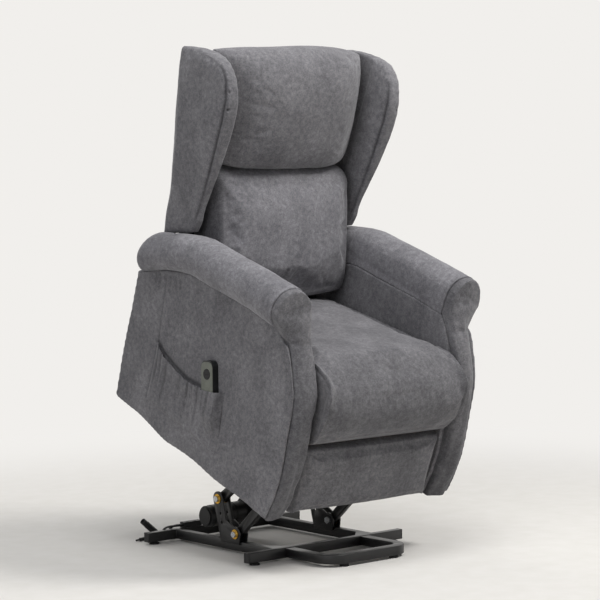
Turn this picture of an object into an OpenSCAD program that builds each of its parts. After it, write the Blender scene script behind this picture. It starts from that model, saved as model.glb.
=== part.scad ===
// Lift recliner chair, drawn standing with the lift raised.
// Base parts are placed from the front crossbar, upholstered parts in the chair's own axes:
// u across (sitter's left is +), v back from the front bottom line, w up.

/* [Base] */
// Middle of the footprint to the front face of the front crossbar
base_front = 105.9; // [90:0.1:120]
// Width of the square-edged base tube
tube_w = 20; // [18:1:22]
// Height of the base tube
tube_h = 26; // [22:1:26]
// Wall of the base tube
tube_wall = 2; // [1.5:0.5:3]
// Height of the rubber feet
foot_h = 7; // [5:1:12]
// Length of the front crossbar
front_bar_len = 536; // [520:4:560]
// Length of the rear crossbar
rear_bar_len = 536; // [520:4:560]
// Front face of the front crossbar to the rear face of the rear one
base_depth = 448; // [446:1:450]
// Middle distance between the two side rails
rail_gap = 330; // [328:1:334]
// Reach of the front loop ahead of the crossbar
loop_reach = 176; // [150:1:190]
// Width of the front loop over its tubes
loop_w = 290; // [280:2:320]
// Bend radius of the loop at the middle of its tube
loop_bend = 44; // [35:1:60]

/* [Lift linkage] */
// Front crossbar to the lower pivot
low_pivot_y = 168; // [166:1:170]
// Floor to the lower pivot
low_pivot_z = 52; // [51:1:54]
// Front crossbar to the upper pivot
high_pivot_y = 240; // [236:1:244]
// Floor to the upper pivot
high_pivot_z = 139; // [136:1:142]
// Lower arm, pivot to pivot
low_arm_len = 255; // [250:1:260]
// Slope of the lower arm with the lift raised
low_arm_slope = 41.5; // [40.5:0.5:42]
// Upper arm, pivot to pivot
high_arm_len = 250; // [246:1:254]
// Slope of the upper arm with the lift raised
high_arm_slope = 35; // [34:0.5:36]
// Height of an arm's rectangular tube
arm_bar_h = 25; // [20:1:26]
// Width of an arm's rectangular tube
arm_bar_w = 14; // [12:1:14]
// Diameter of the pivot bolts
bolt_d = 12; // [10:0.5:13]
// Forward tilt of the chair with the lift raised
chair_tilt = 21.3; // [20:0.1:23]
// Chair's front bottom line back to the lower arm's pin
chair_pin_v = 118.3; // [115:0.1:122]
// Chair's front bottom line up to the lower arm's pin
chair_pin_w = 38.5; // [35:0.5:42]

/* [Actuator] */
// Actuator's rear pin to the rear face of the rear crossbar
clevis_in = 74; // [70:1:78]
// Floor to the actuator's rear pin
clevis_z = 37; // [36:1:41]
// Front bottom line back to the actuator's front pin
push_pin_v = 240; // [235:1:245]
// Front bottom line up to the actuator's front pin
push_pin_w = 100; // [96:1:104]
// Diameter of the drive motor
motor_d = 60; // [50:1:62]
// Length of the drive motor with its end cap
motor_len = 128; // [100:1:128]
// Outer diameter of the actuator's tube
act_tube_d = 38; // [30:1:40]
// Diameter of the actuator's rod
act_rod_d = 20; // [16:1:24]

/* [Arms] */
// Width between the two arms
seat_gap = 480; // [476:1:490]
// Thickness of an arm's padded side box
arm_t = 81; // [76:1:86]
// Diameter of the rolled arm top
roll_d = 118; // [110:1:122]
// Middle of the roll above the front bottom line
roll_w = 529; // [520:1:540]
// Thickness of the padded arm front
arm_front_t = 22; // [16:1:26]

/* [Seat] */
// Height of the seat's wooden rails
rail_h = 40; // [30:1:44]
// Top of the seat's wooden frame
seat_frame_w = 236; // [232:1:240]
// Side clearance between the seat's wooden frame and an arm
frame_play = 19; // [18:1:25]
// Side play of a cushion between the arms
cushion_play = 4; // [2:0.5:8]
// Crown of the seat cushion over its edges
seat_crown = 18; // [8:1:26]
// Wire of the seat springs
spring_wire = 3.6; // [3:0.1:4]

/* [Back] */
// Lean of the back's steel posts
post_lean = 6; // [4:0.5:6.5]
// Crown of the two back cushions
back_crown = 24; // [12:1:30]
// Outside width over the wings
wing_span = 612; // [580:2:620]
// Thickness of a wing
wing_t = 50; // [36:1:54]

/* [Footrest] */
// Thickness of a steel link
link_t = 4; // [3:0.5:4]
// Width of a steel link
link_w = 15; // [12:0.5:15]
// Rear footrest link, pivot to pivot
link_a_len = 165; // [160:1:168]
// Height of the footrest
foot_panel_h = 192; // [180:1:194]
// Width of the footrest
foot_panel_width = 470; // [440:2:474]

/* [Handset] */
// Width of the handset
handset_w = 46; // [42:1:50]
// Height of the handset
handset_h = 130; // [120:1:140]
// Thickness of the handset
handset_t = 22; // [18:1:26]

/* [Hidden] */
$fn = 48;
soft_gap = 0.3;      // a soft face beside its neighbour
run_gap = 0.05;      // radial play of a turning pin
side_gap = 0.5;      // sideways play between links
plate_t = 4;         // pivot and mechanism plates

// ---- lift linkage places, [y, z] from the front crossbar's face at floor level
low_pivot = [low_pivot_y, low_pivot_z];
high_pivot = [high_pivot_y, high_pivot_z];
function arm_dir(slope) = [-cos(slope), sin(slope)];
function turn(p, a) = [p[0] * cos(a) - p[1] * sin(a), p[0] * sin(a) + p[1] * cos(a)];
low_end = low_pivot + low_arm_len * arm_dir(low_arm_slope);
high_end = high_pivot + high_arm_len * arm_dir(high_arm_slope);
chair_pin = [chair_pin_v, chair_pin_w];
chair_o = low_end - turn(chair_pin, chair_tilt);
chair_high_pin = turn(high_end - chair_o, -chair_tilt);
clevis_y = base_depth - clevis_in;
clevis = [clevis_y, clevis_z];
push_pin = [push_pin_v, push_pin_w];
push_end = chair_o + turn(push_pin, chair_tilt);
act_vec = push_end - clevis;
act_len = norm(act_vec);
act_slope = atan2(act_vec[1], -act_vec[0]);

// ---- layers across, from the middle outwards
rail_x = rail_gap / 2;
arm_in = seat_gap / 2;
seat_frame_width = seat_gap - 2 * frame_play;
mech_x = arm_in - plate_t;                 // inner face of the mechanism plate
layer_1 = mech_x - 1 - link_t;             // inner face of the outer links
layer_2 = layer_1 - side_gap - link_t;     // inner face of the inner links
lift_x = rail_x + arm_bar_w / 2 + side_gap;
bracket_out = rail_x + tube_w / 2;
base_top = foot_h + tube_h;

module base_place() { translate([0, -base_front, 0]) children(); }
module chair_place() {
    translate([0, chair_o[0] - base_front, chair_o[1]]) rotate([chair_tilt, 0, 0]) children();
}
module both() {
    children();
    mirror([1, 0, 0]) children();
}
// a plate or bar outlined in [y, z], reaching from x to x + t
module slab(x, t) {
    translate([x, 0, 0]) rotate([90, 0, 90]) linear_extrude(t) children();
}
module cross_rod(x, len, d, at) { translate([x, at[0], at[1]]) rotate([0, 90, 0]) cylinder(h = len, d = d); }
module box_tube(size, wall, along) {
    inner = [for (i = [0:2]) i == along ? size[i] + 2 : size[i] - 2 * wall];
    difference() {
        cube(size, center = true);
        cube(inner, center = true);
    }
}
// link outline in its own plane: a bar with round ends, bored at the listed distances
module bar_2d(len, w, angle, bores, bore_d) {
    rotate(angle) difference() {
        union() {
            circle(d = w);
            translate([0, -w / 2]) square([len, w]);
            translate([len, 0]) circle(d = w);
        }
        for (b = bores) translate([b, 0]) circle(d = bore_d);
    }
}

// ---- soft forms
function at(v, i) = v[(i + len(v)) % len(v)];
function spline_pt(a, b, c, d, t) =
    0.5 * ((2 * b) + (c - a) * t + (2 * a - 5 * b + 4 * c - d) * t * t + (3 * b - a - 3 * c + d) * t * t * t);
function area2(p) = [for (i = [0:len(p) - 1]) cross(p[i], at(p, i + 1))] * [for (q = p) 1];
// outline wound so that its normals point outwards
function wound(p) = area2(p) > 0 ? p : [for (i = [len(p) - 1:-1:0]) p[i]];
function smooth(raw, n) = let (pts = wound(raw)) [for (i = [0:len(pts) - 1], k = [0:n - 1])
    spline_pt(at(pts, i - 1), pts[i], at(pts, i + 1), at(pts, i + 2), k / n)];
function unit(v) = v / max(norm(v), 0.0001);
function normal_at(pts, i) = let (d = unit(at(pts, i + 1) - at(pts, i - 1))) [d[1], -d[0]];
// outline moved in by inset, and puffed by crown where it faces dir
function puffed(pts, inset, crown, dir) = [for (i = [0:len(pts) - 1])
    let (n = normal_at(pts, i)) pts[i] - n * inset + n * crown * pow(max(0, n * dir), 1.5)];
function mean(pts) = [for (k = [0:2]) [for (p = pts) p[k]] * [for (p = pts) 1] / len(pts)];
// closed skin over rings of equal length, each end closed round its middle
module skin(rings) {
    n = len(rings[0]);
    m = len(rings);
    pts = concat([for (r = rings) for (p = r) p], [mean(rings[0]), mean(rings[m - 1])]);
    sides = [for (j = [0:m - 2], i = [0:n - 1]) let (a = j * n + i, b = j * n + (i + 1) % n)
        each [[a, b, b + n], [a, b + n, a + n]]];
    caps = [for (i = [0:n - 1]) each [[m * n, (i + 1) % n, i],
        [m * n + 1, (m - 1) * n + i, (m - 1) * n + (i + 1) % n]]];
    polyhedron(points = pts, faces = concat(sides, caps), convexity = 6);
}
// stations across a cushion of half width hw with edges rounded by r: [u, inset, share of crown]
function stations(hw, r, n) = concat(
    [for (a = [0:30:60]) [-hw + r * (1 - cos(a)), r * (1 - sin(a)), 0.02]],
    [for (k = [0:n]) let (t = -1 + 2 * k / n) [t * (hw - r), 0, 1 - pow(abs(t), 2.4)]],
    [for (a = [60:-30:0]) [hw - r * (1 - cos(a)), r * (1 - sin(a)), 0.02]]);
// cushion with side outline pts in [v, w]
module cushion(pts, hw, r, crown, dir, n) {
    skin([for (s = stations(hw, r, n))
        [for (p = puffed(pts, s[1], crown * s[2], dir)) [s[0], p[0], p[1]]]]);
}

// two outlines of equal length mixed; share 0 gives a
function blended(a, b, share) = [for (i = [0:len(a) - 1]) a[i] * (1 - share) + b[i] * share];
// 0 up to the half width from, then rising to 1 at to
function to_side(u, from, to, power) = pow(max(0, min(1, (abs(u) - from) / (to - from))), power);

// ---- the arm's front line and widths by height
front_line = [[0, -6], [60, -19], [120, -24], [180, -20], [240, -12], [300, -6], [345, 4], [385, 24],
    [425, 48], [455, 68], [roll_w - 48, 78], [roll_w, 92], [roll_w + 59, 97]];
roll_cut = 0.407 * roll_d;                    // roll's middle to its flat seat on the arm box
roll_front = 118;                             // where the roll meets the arm front
roll_u = arm_in + 1 + roll_d / 2;
function arm_front_v(w) = lookup(w, front_line);
function arm_back_v(w) = w > roll_w - roll_cut - 1 ? roll_front - soft_gap
    : min(arm_front_v(w) + arm_front_t, roll_front - soft_gap);

// ================= base =================
gusset = 40;              // legs of the corner plates
module rail(s) {
    translate([s * rail_x, base_depth / 2, foot_h + tube_h / 2])
        box_tube([tube_w, base_depth - 2 * tube_w, tube_h], tube_wall, 1);
}
module base_frame() {
    color("#202123") base_place() {
        for (s = [-1, 1]) rail(s);
        translate([0, tube_w / 2, foot_h + tube_h / 2])
            box_tube([front_bar_len, tube_w, tube_h], tube_wall, 0);
        translate([0, base_depth - tube_w / 2, foot_h + tube_h / 2])
            box_tube([rear_bar_len, tube_w, tube_h], tube_wall, 0);
        both() translate([rail_x - tube_w / 2, tube_w, base_top - 3]) linear_extrude(3)
            polygon([[0, 0], [-gusset, 0], [0, gusset]]);
    }
}
loop_tube_w = 28;
loop_tube_h = 24;
module loop_profile() { square([loop_tube_w, loop_tube_h], center = true); }
module front_loop() {
    half = loop_w / 2 - loop_tube_w / 2;
    mid_z = foot_h + loop_tube_h / 2 + 1;
    color("#202123") base_place() translate([0, 0, mid_z]) {
        both() {
            translate([half, -(loop_reach - loop_tube_w / 2 - loop_bend) / 2, 0])
                cube([loop_tube_w, loop_reach - loop_tube_w / 2 - loop_bend, loop_tube_h], center = true);
            translate([half - loop_bend, -(loop_reach - loop_tube_w / 2 - loop_bend), 0]) rotate([0, 0, -90])
                rotate_extrude(angle = 90) translate([loop_bend, 0]) loop_profile();
        }
        translate([0, -(loop_reach - loop_tube_w / 2), 0])
            cube([2 * (half - loop_bend), loop_tube_w, loop_tube_h], center = true);
    }
}
cap_t = 3;
module tube_cap(x, y, s) {
    translate([x, y, foot_h + tube_h / 2]) {
        translate([s * cap_t / 2, 0, 0]) cube([cap_t, tube_w, tube_h], center = true);
        translate([-s * 6, 0, 0])
            cube([12, tube_w - 2 * tube_wall - 0.2, tube_h - 2 * tube_wall - 0.2], center = true);
    }
}
module tube_caps() {
    color("#161617") base_place() for (s = [-1, 1]) {
        tube_cap(s * front_bar_len / 2, tube_w / 2, s);
        tube_cap(s * rear_bar_len / 2, base_depth - tube_w / 2, s);
    }
}
foot_d = 28;
neck_h = 3;
module base_foot(p) {
    translate([p[0], p[1], 0]) {
        cylinder(h = foot_h - neck_h, d = foot_d);
        translate([0, 0, foot_h - neck_h]) cylinder(h = neck_h, d = 18);
    }
}
module base_feet() {
    color("#161617") base_place() {
        both() {
            base_foot([front_bar_len / 2 - 24, tube_w / 2]);
            base_foot([rear_bar_len / 2 - 24, base_depth - tube_w / 2]);
        }
        both() translate([loop_w / 2 - loop_tube_w / 2 - loop_bend, -(loop_reach - loop_tube_w / 2), 0])
            cylinder(h = foot_h + 1, d = foot_d - 4);
    }
}
boss_r = 20;
strap_w = 38;
// strap rising from the rail's top edge to the upper pivot, with a lobe round the lower one
module pivot_plate_2d() {
    foot_z = base_top - 8;
    lean = 30;
    difference() {
        union() {
            polygon([[high_pivot_y - strap_w / 2, high_pivot_z],
                [high_pivot_y + strap_w / 2, high_pivot_z - 4],
                [high_pivot_y + strap_w / 2 - lean, foot_z],
                [high_pivot_y - strap_w / 2 - lean, foot_z]]);
            polygon([[low_pivot_y - boss_r, low_pivot_z], [low_pivot_y - boss_r + 4, foot_z],
                [high_pivot_y - lean, foot_z], [high_pivot_y - strap_w / 2 - 16, low_pivot_z + 34],
                [low_pivot_y + 8, low_pivot_z + boss_r - 2]]);
            translate(high_pivot) circle(r = boss_r);
            translate(low_pivot) circle(r = boss_r);
        }
        translate(high_pivot) circle(d = bolt_d);
        translate(low_pivot) circle(d = bolt_d);
        translate([high_pivot_y - 10, high_pivot_z - 38]) circle(d = 8);
        translate([high_pivot_y - 16, high_pivot_z - 62]) circle(d = 8);
    }
}
module pivot_bracket() {
    color("#222325") base_place() {
        slab(bracket_out, plate_t) pivot_plate_2d();
        slab(rail_x - tube_w / 2 - plate_t, plate_t) pivot_plate_2d();
    }
}
module pivot_bracket_right() { mirror([1, 0, 0]) pivot_bracket(); }
module pivot_bracket_left() { pivot_bracket(); }
ring_t = 2.5;
head_t = 6;
nut_t = 7;
module pivot_bolt(p) {
    reach = tube_w + 2 * plate_t;
    cross_rod(rail_x - tube_w / 2 - plate_t, reach + ring_t, bolt_d, p);
    cross_rod(bracket_out + plate_t + ring_t, head_t, bolt_d + 4, p);
    translate([rail_x - tube_w / 2 - plate_t - nut_t, p[0], p[1]]) rotate([0, 90, 0])
        cylinder(h = nut_t, d = 20, $fn = 6);
}
module pivot_bolts() {
    color("#8d9093") base_place() {
        both() {
            pivot_bolt(low_pivot);
            pivot_bolt(high_pivot);
        }
        cross_rod(-clevis_out, 2 * clevis_out, pin_d, clevis);
        both() cross_rod(clevis_out, 3, pin_d + 4, clevis);
    }
}
bush_d = 26;
bush_gap = (tube_w - arm_bar_w) / 2;
// brass rings: one under each bolt head, one each side of the arm's eye
module pivot_rings(p) {
    for (x = [[bracket_out + plate_t, ring_t], [rail_x + arm_bar_w / 2, bush_gap],
        [rail_x - tube_w / 2, bush_gap]])
        difference() {
            cross_rod(x[0], x[1], bush_d, p);
            cross_rod(x[0] - 1, x[1] + 2, bolt_d, p);
        }
}
module pivot_bushings() {
    color("#b08a3e") base_place() both() {
        pivot_rings(low_pivot);
        pivot_rings(high_pivot);
    }
}
pin_d = 10;
eye_half = 10;
clevis_out = eye_half + side_gap + 5;
module clevis_ear_2d() {
    difference() {
        union() {
            translate(clevis) circle(r = 13);
            polygon([[clevis_y, clevis_z - 13], [base_depth - tube_w, foot_h + 2],
                [base_depth - tube_w, base_top], [clevis_y, clevis_z + 13]]);
        }
        translate(clevis) circle(d = pin_d);
    }
}
module motor_clevis() {
    color("#222325") base_place() {
        both() slab(eye_half + side_gap, 5) clevis_ear_2d();
        translate([-clevis_out, base_depth - tube_w - plate_t, foot_h + 2])
            cube([2 * clevis_out, plate_t, tube_h - 2]);
    }
}

// ================= lift arms =================
module lift_arm(pivot, slope, len, holes) {
    color("#202123") base_place() slab(rail_x - arm_bar_w / 2, arm_bar_w) translate(pivot) difference() {
        bar_2d(len, arm_bar_h, 180 - slope, [0, len], bolt_d + 2 * run_gap);
        rotate(180 - slope) for (at = holes) translate([at, 0]) circle(d = cross_d);
    }
}
cross_d = 20;
low_tube_at = 120;        // cross tube's place along the lower arms
module lower_arm() { lift_arm(low_pivot, low_arm_slope, low_arm_len, [low_tube_at]); }
module upper_arm() { lift_arm(high_pivot, high_arm_slope, high_arm_len, []); }
module lower_arm_left() { lower_arm(); }
module lower_arm_right() { mirror([1, 0, 0]) lower_arm(); }
module upper_arm_left() { upper_arm(); }
module upper_arm_right() { mirror([1, 0, 0]) upper_arm(); }
module lower_arm_tube() {
    half = rail_x + arm_bar_w / 2;
    p = low_pivot + low_tube_at * arm_dir(low_arm_slope);
    color("#202123") base_place() difference() {
        cross_rod(-half, 2 * half, cross_d, p);
        cross_rod(-half - 1, 2 * half + 2, cross_d - 5, p);
    }
}

// ================= actuator =================
gear_at = 58;             // rear pin to the middle of the gearbox
gear_len = 54;
gear_h = 62;
gear_half = 25;
neck_len = 8;
module act_place() { base_place() translate([0, clevis_y, clevis_z]) rotate([-act_slope, 0, 0]) children(); }
// in here the actuator points along -Y
module gearbox() {
    color("#1c1d1f") act_place() difference() {
        union() {
            translate([-gear_half, -gear_at - gear_len / 2, -gear_h / 2])
                cube([2 * gear_half, gear_len, gear_h]);
            slab(-eye_half, 2 * eye_half) {
                translate([-gear_at + gear_len / 2 - 1, -13]) square([gear_at - gear_len / 2 + 1, 26]);
                circle(r = 13);
            }
            translate([0, -gear_at - gear_len / 2, 0]) rotate([90, 0, 0])
                cylinder(h = neck_len, d = act_tube_d + 10);
        }
        cross_rod(-eye_half - 1, 2 * eye_half + 2, pin_d + 2 * run_gap, [0, 0]);
    }
}
cap_len = 18;
module drive_motor() {
    can = motor_len - cap_len;
    color("#1c1d1f") act_place() difference() {
        cross_rod(-gear_half - can, can, motor_d, [-gear_at, 0]);
        for (x = [0:3]) translate([-gear_half - can + 12 + x * 20, -gear_at, 0]) rotate([0, 90, 0])
            rotate_extrude() translate([motor_d / 2 - 1, 0]) square([3, 3]);
    }
}
module motor_end_cap() {
    x0 = -gear_half - motor_len;
    color("#141415") act_place() {
        cross_rod(x0 + 5, cap_len - 5, motor_d - 2, [-gear_at, 0]);
        cross_rod(x0, 5, motor_d - 12, [-gear_at, 0]);
    }
}
act_tube_end = 35;        // front pin to the tube's mouth with the lift lowered
act_stroke = 70;
tube_front = act_len - act_stroke - act_tube_end;
tube_rear = gear_at + gear_len / 2 + neck_len;
module actuator_tube() {
    color("#26272a") act_place() rotate([90, 0, 0]) difference() {
        translate([0, 0, tube_rear]) cylinder(h = tube_front - tube_rear, d = act_tube_d);
        translate([0, 0, tube_rear + 6]) cylinder(h = tube_front, d = act_rod_d + 2 * run_gap);
    }
}
module actuator_rod() {
    tail = tube_rear + 10 + act_stroke;
    color("#9a9da0") act_place() {
        rotate([90, 0, 0]) translate([0, 0, tail]) cylinder(h = act_len - tail - 8, d = act_rod_d);
        slab(-eye_half + 0.5, 2 * eye_half - 1) translate([-act_len, 0]) circle(r = 14);
    }
}

// ================= motor lead =================
lead_d = 6;
lead_steps = 2;
// gearbox to the flat connector on the rear crossbar
lead_a = [[-19, 358.4, 65], [-19, 364.6, 59.3], [-19.6, 372, 52.6], [-21.6, 381, 46.6], [-25.5, 391, 42.6],
    [-31.5, 402, 40.8], [-39.5, 413, 40.4], [-44.6, 419.1, 40.4], [-50, 424, 40.5], [-56.3, 428.7, 40.6],
    [-63, 432.5, 40.7], [-69, 435, 40.9], [-75, 436.8, 41], [-80.3, 437.7, 41], [-85.7, 438, 41]];
// flat connector down behind the crossbar and back to the round connector
lead_b = [[-148.3, 442, 41], [-160, 442.5, 41], [-171, 446, 39], [-179.5, 451, 33], [-183, 455.5, 24.5],
    [-180.5, 459, 15.5], [-173, 461.5, 8], [-160, 463.2, 4], [-146, 464, 3.3], [-132, 466, 3.3],
    [-122, 470, 3.3],
    [-118, 480, 3.3], [-122, 490, 3.3], [-132, 494, 3.3], [-145, 494.4, 3.3], [-158.2, 493.4, 3.3],
    [-170.6, 492.6, 3.4], [-176.6, 492.3, 4.1], [-182, 492.1, 5.9], [-188.3, 492, 10.6]];
// flat connector to the small plug on the floor
lead_c = [[-148.3, 434, 41], [-162, 434.2, 41], [-176, 436, 41], [-189, 441, 40.3], [-198, 448, 36.5],
    [-202, 455, 29], [-203, 461, 20], [-202, 467, 11.5], [-200, 475, 5.5], [-198.4, 480, 4.1],
    [-197.6, 485, 3.4], [-199.5, 494.5, 3.3], [-206, 500.4, 3.5], [-214.5, 502.3, 4.2], [-224.3, 502, 5]];
function curve_pts(p, n) = concat([for (i = [0:len(p) - 2], k = [0:n - 1])
    spline_pt(p[max(i - 1, 0)], p[i], p[i + 1], p[min(i + 2, len(p) - 1)], k / n)], [p[len(p) - 1]]);
module lead_tube(route) {
    pts = curve_pts(route, lead_steps);
    m = len(pts);
    skin([for (i = [0:m - 1])
        let (t = unit(pts[min(i + 1, m - 1)] - pts[max(i - 1, 0)]),
             side = unit(cross(t, [0, 0, 1])), up = cross(side, t))
        [for (k = [0:7]) pts[i] + lead_d / 2 * (cos(45 * k) * side + sin(45 * k) * up)]]);
}
module motor_lead() {
    color("#151516") base_place() {
        lead_tube(lead_a);
        lead_tube(lead_b);
        lead_tube(lead_c);
    }
}
flat_len = 62;
flat_h = 15;
flat_x = -117;
module inline_connector() {
    color("#19191a") base_place() translate([flat_x, base_depth - tube_w / 2, base_top + soft_gap])
        difference() {
            translate([-flat_len / 2, -9, 0]) cube([flat_len, 18, flat_h]);
            for (s = [-1, 1]) translate([s * 14, 0, flat_h - 1]) cylinder(h = 2, d = 6);
        }
}
// a piece lying along the line from a to b, drawn up its own Z axis
module laid(a, b) {
    d = b - a;
    translate(a) rotate([0, acos(d[2] / norm(d)), atan2(d[1], d[0])]) children();
}
round_d = 18;
module lead_connector() {
    color("#19191a") base_place() laid([-188.6, 492, 10.8], [-241.3, 492, 54.6]) {
        cylinder(h = 12, d1 = 9, d2 = round_d - 2);
        translate([0, 0, 12]) cylinder(h = 42, d = round_d);
        translate([0, 0, 54]) difference() {
            cylinder(h = 16, d = round_d - 1.5);
            translate([0, 0, 4]) cylinder(h = 13, d = round_d - 5);
        }
    }
}
small_d = 9.4;
module small_plug() {
    color("#19191a") base_place() laid([-224.8, 501.9, 5], [-268, 491, 5]) {
        cylinder(h = 26, d = small_d);
        translate([0, 0, 26]) cylinder(h = 16, d = small_d - 4);
    }
}

// ================= seat structure =================
box_front = 60;
box_rear = 520;
wood_t = 20;
module seat_box() {
    half = seat_frame_width / 2;
    color("#b08c5f") chair_place() translate([0, 0, seat_frame_w - rail_h]) {
        for (v = [box_front, box_rear - wood_t]) translate([-half, v, 0]) cube([2 * half, wood_t, rail_h]);
        both() translate([half - wood_t, box_front + wood_t, 0])
            cube([wood_t, box_rear - box_front - 2 * wood_t, rail_h]);
    }
}
spring_count = 4;
spring_pitch = 24;
spring_half = 20;
module spring_wire_run(len) {
    n = floor(len / spring_pitch);
    start = (len - n * spring_pitch) / 2;
    r = spring_pitch / 2;
    for (i = [0:n - 1]) {
        s = i % 2 == 0 ? 1 : -1;
        translate([s * (spring_half - r), start + (i + 0.5) * spring_pitch, 0])
            rotate([0, 0, s > 0 ? -90 : 90])
                rotate_extrude(angle = 180) translate([r, 0]) circle(d = spring_wire, $fn = 13);
        if (i < n - 1) translate([-spring_half + r, start + (i + 1) * spring_pitch, 0]) rotate([0, 90, 0])
            cylinder(h = 2 * (spring_half - r), d = spring_wire, $fn = 13);
    }
    for (e = [0, 1]) translate([0, e * (len - start), 0]) rotate([-90, 0, 0])
        cylinder(h = start, d = spring_wire, $fn = 13);
    translate([0, start, 0]) rotate([0, 90, 0]) cylinder(h = spring_half - r, d = spring_wire, $fn = 13);
    last = (n - 1) % 2 == 0 ? 0 : -(spring_half - r);
    translate([last, len - start, 0]) rotate([0, 90, 0])
        cylinder(h = spring_half - r, d = spring_wire, $fn = 13);
}
module seat_springs() {
    run = box_rear - box_front - 2 * 6;
    color("#7b7d80") chair_place() for (k = [0:spring_count - 1])
        translate([(k - (spring_count - 1) / 2) * 100, box_front + 6, seat_frame_w + spring_wire / 2])
            spring_wire_run(run);
}
// the seat's steelwork hangs from the top of the wooden frame
function from_frame(p) = [for (q = p) [q[0], seat_frame_w + q[1]]];
link_pivot_a = [150, seat_frame_w - 21];
link_pivot_b = [108, seat_frame_w - 1];
hinge_pin = [560, seat_frame_w - 6];
rivet_d = 8;
module mech_plate() {
    color("#3a3b3e") chair_place() slab(mech_x, plate_t) difference() {
        polygon(from_frame([[88, -8], [96, 11], [120, 14], [540, 14], [560, 16], [578, 4],
            [578, -16], [564, -28], [480, -46], [220, -46], [168, -38], [132, -36]]));
        translate(link_pivot_a) circle(d = rivet_d);
        translate(link_pivot_b) circle(d = rivet_d);
        translate(hinge_pin) circle(d = bolt_d);
        for (t = mech_tube_at) translate(t) circle(d = mech_tube_d);
    }
}
mech_tube_d = 22;
mech_tube_at = from_frame([[350, -22], [486, -22]]);
module mech_plate_left() { mech_plate(); }
module mech_plate_right() { mirror([1, 0, 0]) mech_plate(); }
// tubes joining the side plates, with the blocks that the wooden frame sits on
module mech_tubes() {
    color("#3a3b3e") chair_place() difference() {
        union() for (t = mech_tube_at) both()
            cross_rod(seat_frame_width / 2, arm_in - seat_frame_width / 2, mech_tube_d, t);
        for (t = mech_tube_at) both()
            cross_rod(seat_frame_width / 2 - 1, arm_in - seat_frame_width / 2 + 2, mech_tube_d - 5, t);
    }
    color("#3a3b3e") chair_place() both()
        translate([seat_frame_width / 2, 168, seat_frame_w - 9])
            cube([mech_x - seat_frame_width / 2, 26, 9]);
}
flange_w = seat_frame_w - rail_h;
flange_t = 5;
lift_plate_front = chair_pin_v - 23;
lift_plate_rear = push_pin_v + 32;
module lift_bracket() {
    color("#222325") chair_place() {
        slab(lift_x, plate_t) difference() {
            union() {
                polygon([[chair_pin_v - 17, chair_pin_w + 2], [chair_pin_v, chair_pin_w - 16],
                    [chair_high_pin[0] + 14, chair_high_pin[1] - 13], [push_bar[0] + 20, push_bar[1] - 8],
                    [lift_plate_rear, flange_w - flange_t], [lift_plate_rear, flange_w],
                    [lift_plate_front, flange_w], [lift_plate_front, flange_w - 20]]);
                translate(chair_pin) circle(r = 17);
                translate(chair_high_pin) circle(r = 17);
            }
            translate(chair_pin) circle(d = bolt_d);
            translate(chair_high_pin) circle(d = bolt_d);
            translate([push_bar[0], push_bar[1]]) circle(d = cross_d);
            translate([(chair_pin_v + push_pin_v) / 2 - 20, (chair_pin_w + flange_w) / 2]) circle(d = 34);
        }
        translate([lift_x + plate_t, lift_plate_front, flange_w - flange_t])
            cube([seat_frame_width / 2 - lift_x - plate_t, lift_plate_rear - lift_plate_front, flange_t]);
    }
}
module lift_bracket_left() { lift_bracket(); }
module lift_bracket_right() { mirror([1, 0, 0]) lift_bracket(); }
push_bar = [push_pin_v, push_pin_w + 28];
module actuator_crossbar() {
    half = lift_x + plate_t;
    color("#222325") chair_place() {
        difference() {
            cross_rod(-half, 2 * half, cross_d, push_bar);
            cross_rod(-half - 1, 2 * half + 2, cross_d - 5, push_bar);
        }
        both() slab(eye_half + side_gap, 5) difference() {
            union() {
                translate(push_pin) circle(r = 14);
                translate([push_pin_v - 11, push_pin_w]) square([22, 28]);
            }
            translate(push_pin) circle(d = pin_d);
            translate(push_bar) circle(d = cross_d - 1);
        }
    }
}
eye_w = arm_bar_w + 2 * side_gap;
// pins and bolts carried by the seat's steelwork
module chair_pins() {
    color("#8d9093") chair_place() both() {
        cross_rod(lift_x - eye_w - 3, eye_w + plate_t + 3, bolt_d, chair_pin);
        cross_rod(lift_x + plate_t, head_t, bolt_d + 6, chair_pin);
        cross_rod(lift_x, plate_t, bolt_d, chair_high_pin);
        cross_rod(lift_x + plate_t, head_t, bolt_d + 6, chair_high_pin);
        cross_rod(eye_half + side_gap, 5, pin_d, push_pin);
        cross_rod(eye_half + side_gap + 5, 3, pin_d + 4, push_pin);
        for (p = [link_pivot_a, link_pivot_b]) {
            cross_rod(layer_1, mech_x + plate_t - layer_1, rivet_d, p);
            cross_rod(layer_1 - rivet_head_t, rivet_head_t, rivet_d + 5, p);
        }
        cross_rod(layer_1, mech_x + plate_t - layer_1, bolt_d, hinge_pin);
        cross_rod(layer_1 - 4, 4, bolt_d + 8, hinge_pin);
    }
}

// ================= arms =================
arm_bottom = [[664, 24], [600, 20], [508, 14], [430, 7], [276, 7], [120, 5], [30, 2], [16.5, 2]];
roll_line = [[roll_front, 0], [217, 0], [299, -5], [382, -10], [468, -13], [509, -22], [589, -49],
    [648, -77]];
roll_rear = 670;
arm_rear = [[661, roll_w - roll_cut - 83], [697, 384], [690, 270], [686, 153], [675, 29]];
front_heights = [60, 120, 180, 240, 300, 345, 385, 425, 455];
front_steps = [for (w = concat([2], front_heights)) [arm_back_v(w) + soft_gap, w]];
arm_top = [for (p = roll_line) [p[0], p[1] + roll_w - roll_cut]];
module arm_body() {
    color("#5d5d61") chair_place() slab(arm_in, arm_t)
        polygon(concat(arm_bottom, front_steps, arm_top, arm_rear));
}
module arm_body_left() { arm_body(); }
module arm_body_right() { mirror([1, 0, 0]) arm_body(); }
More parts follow.
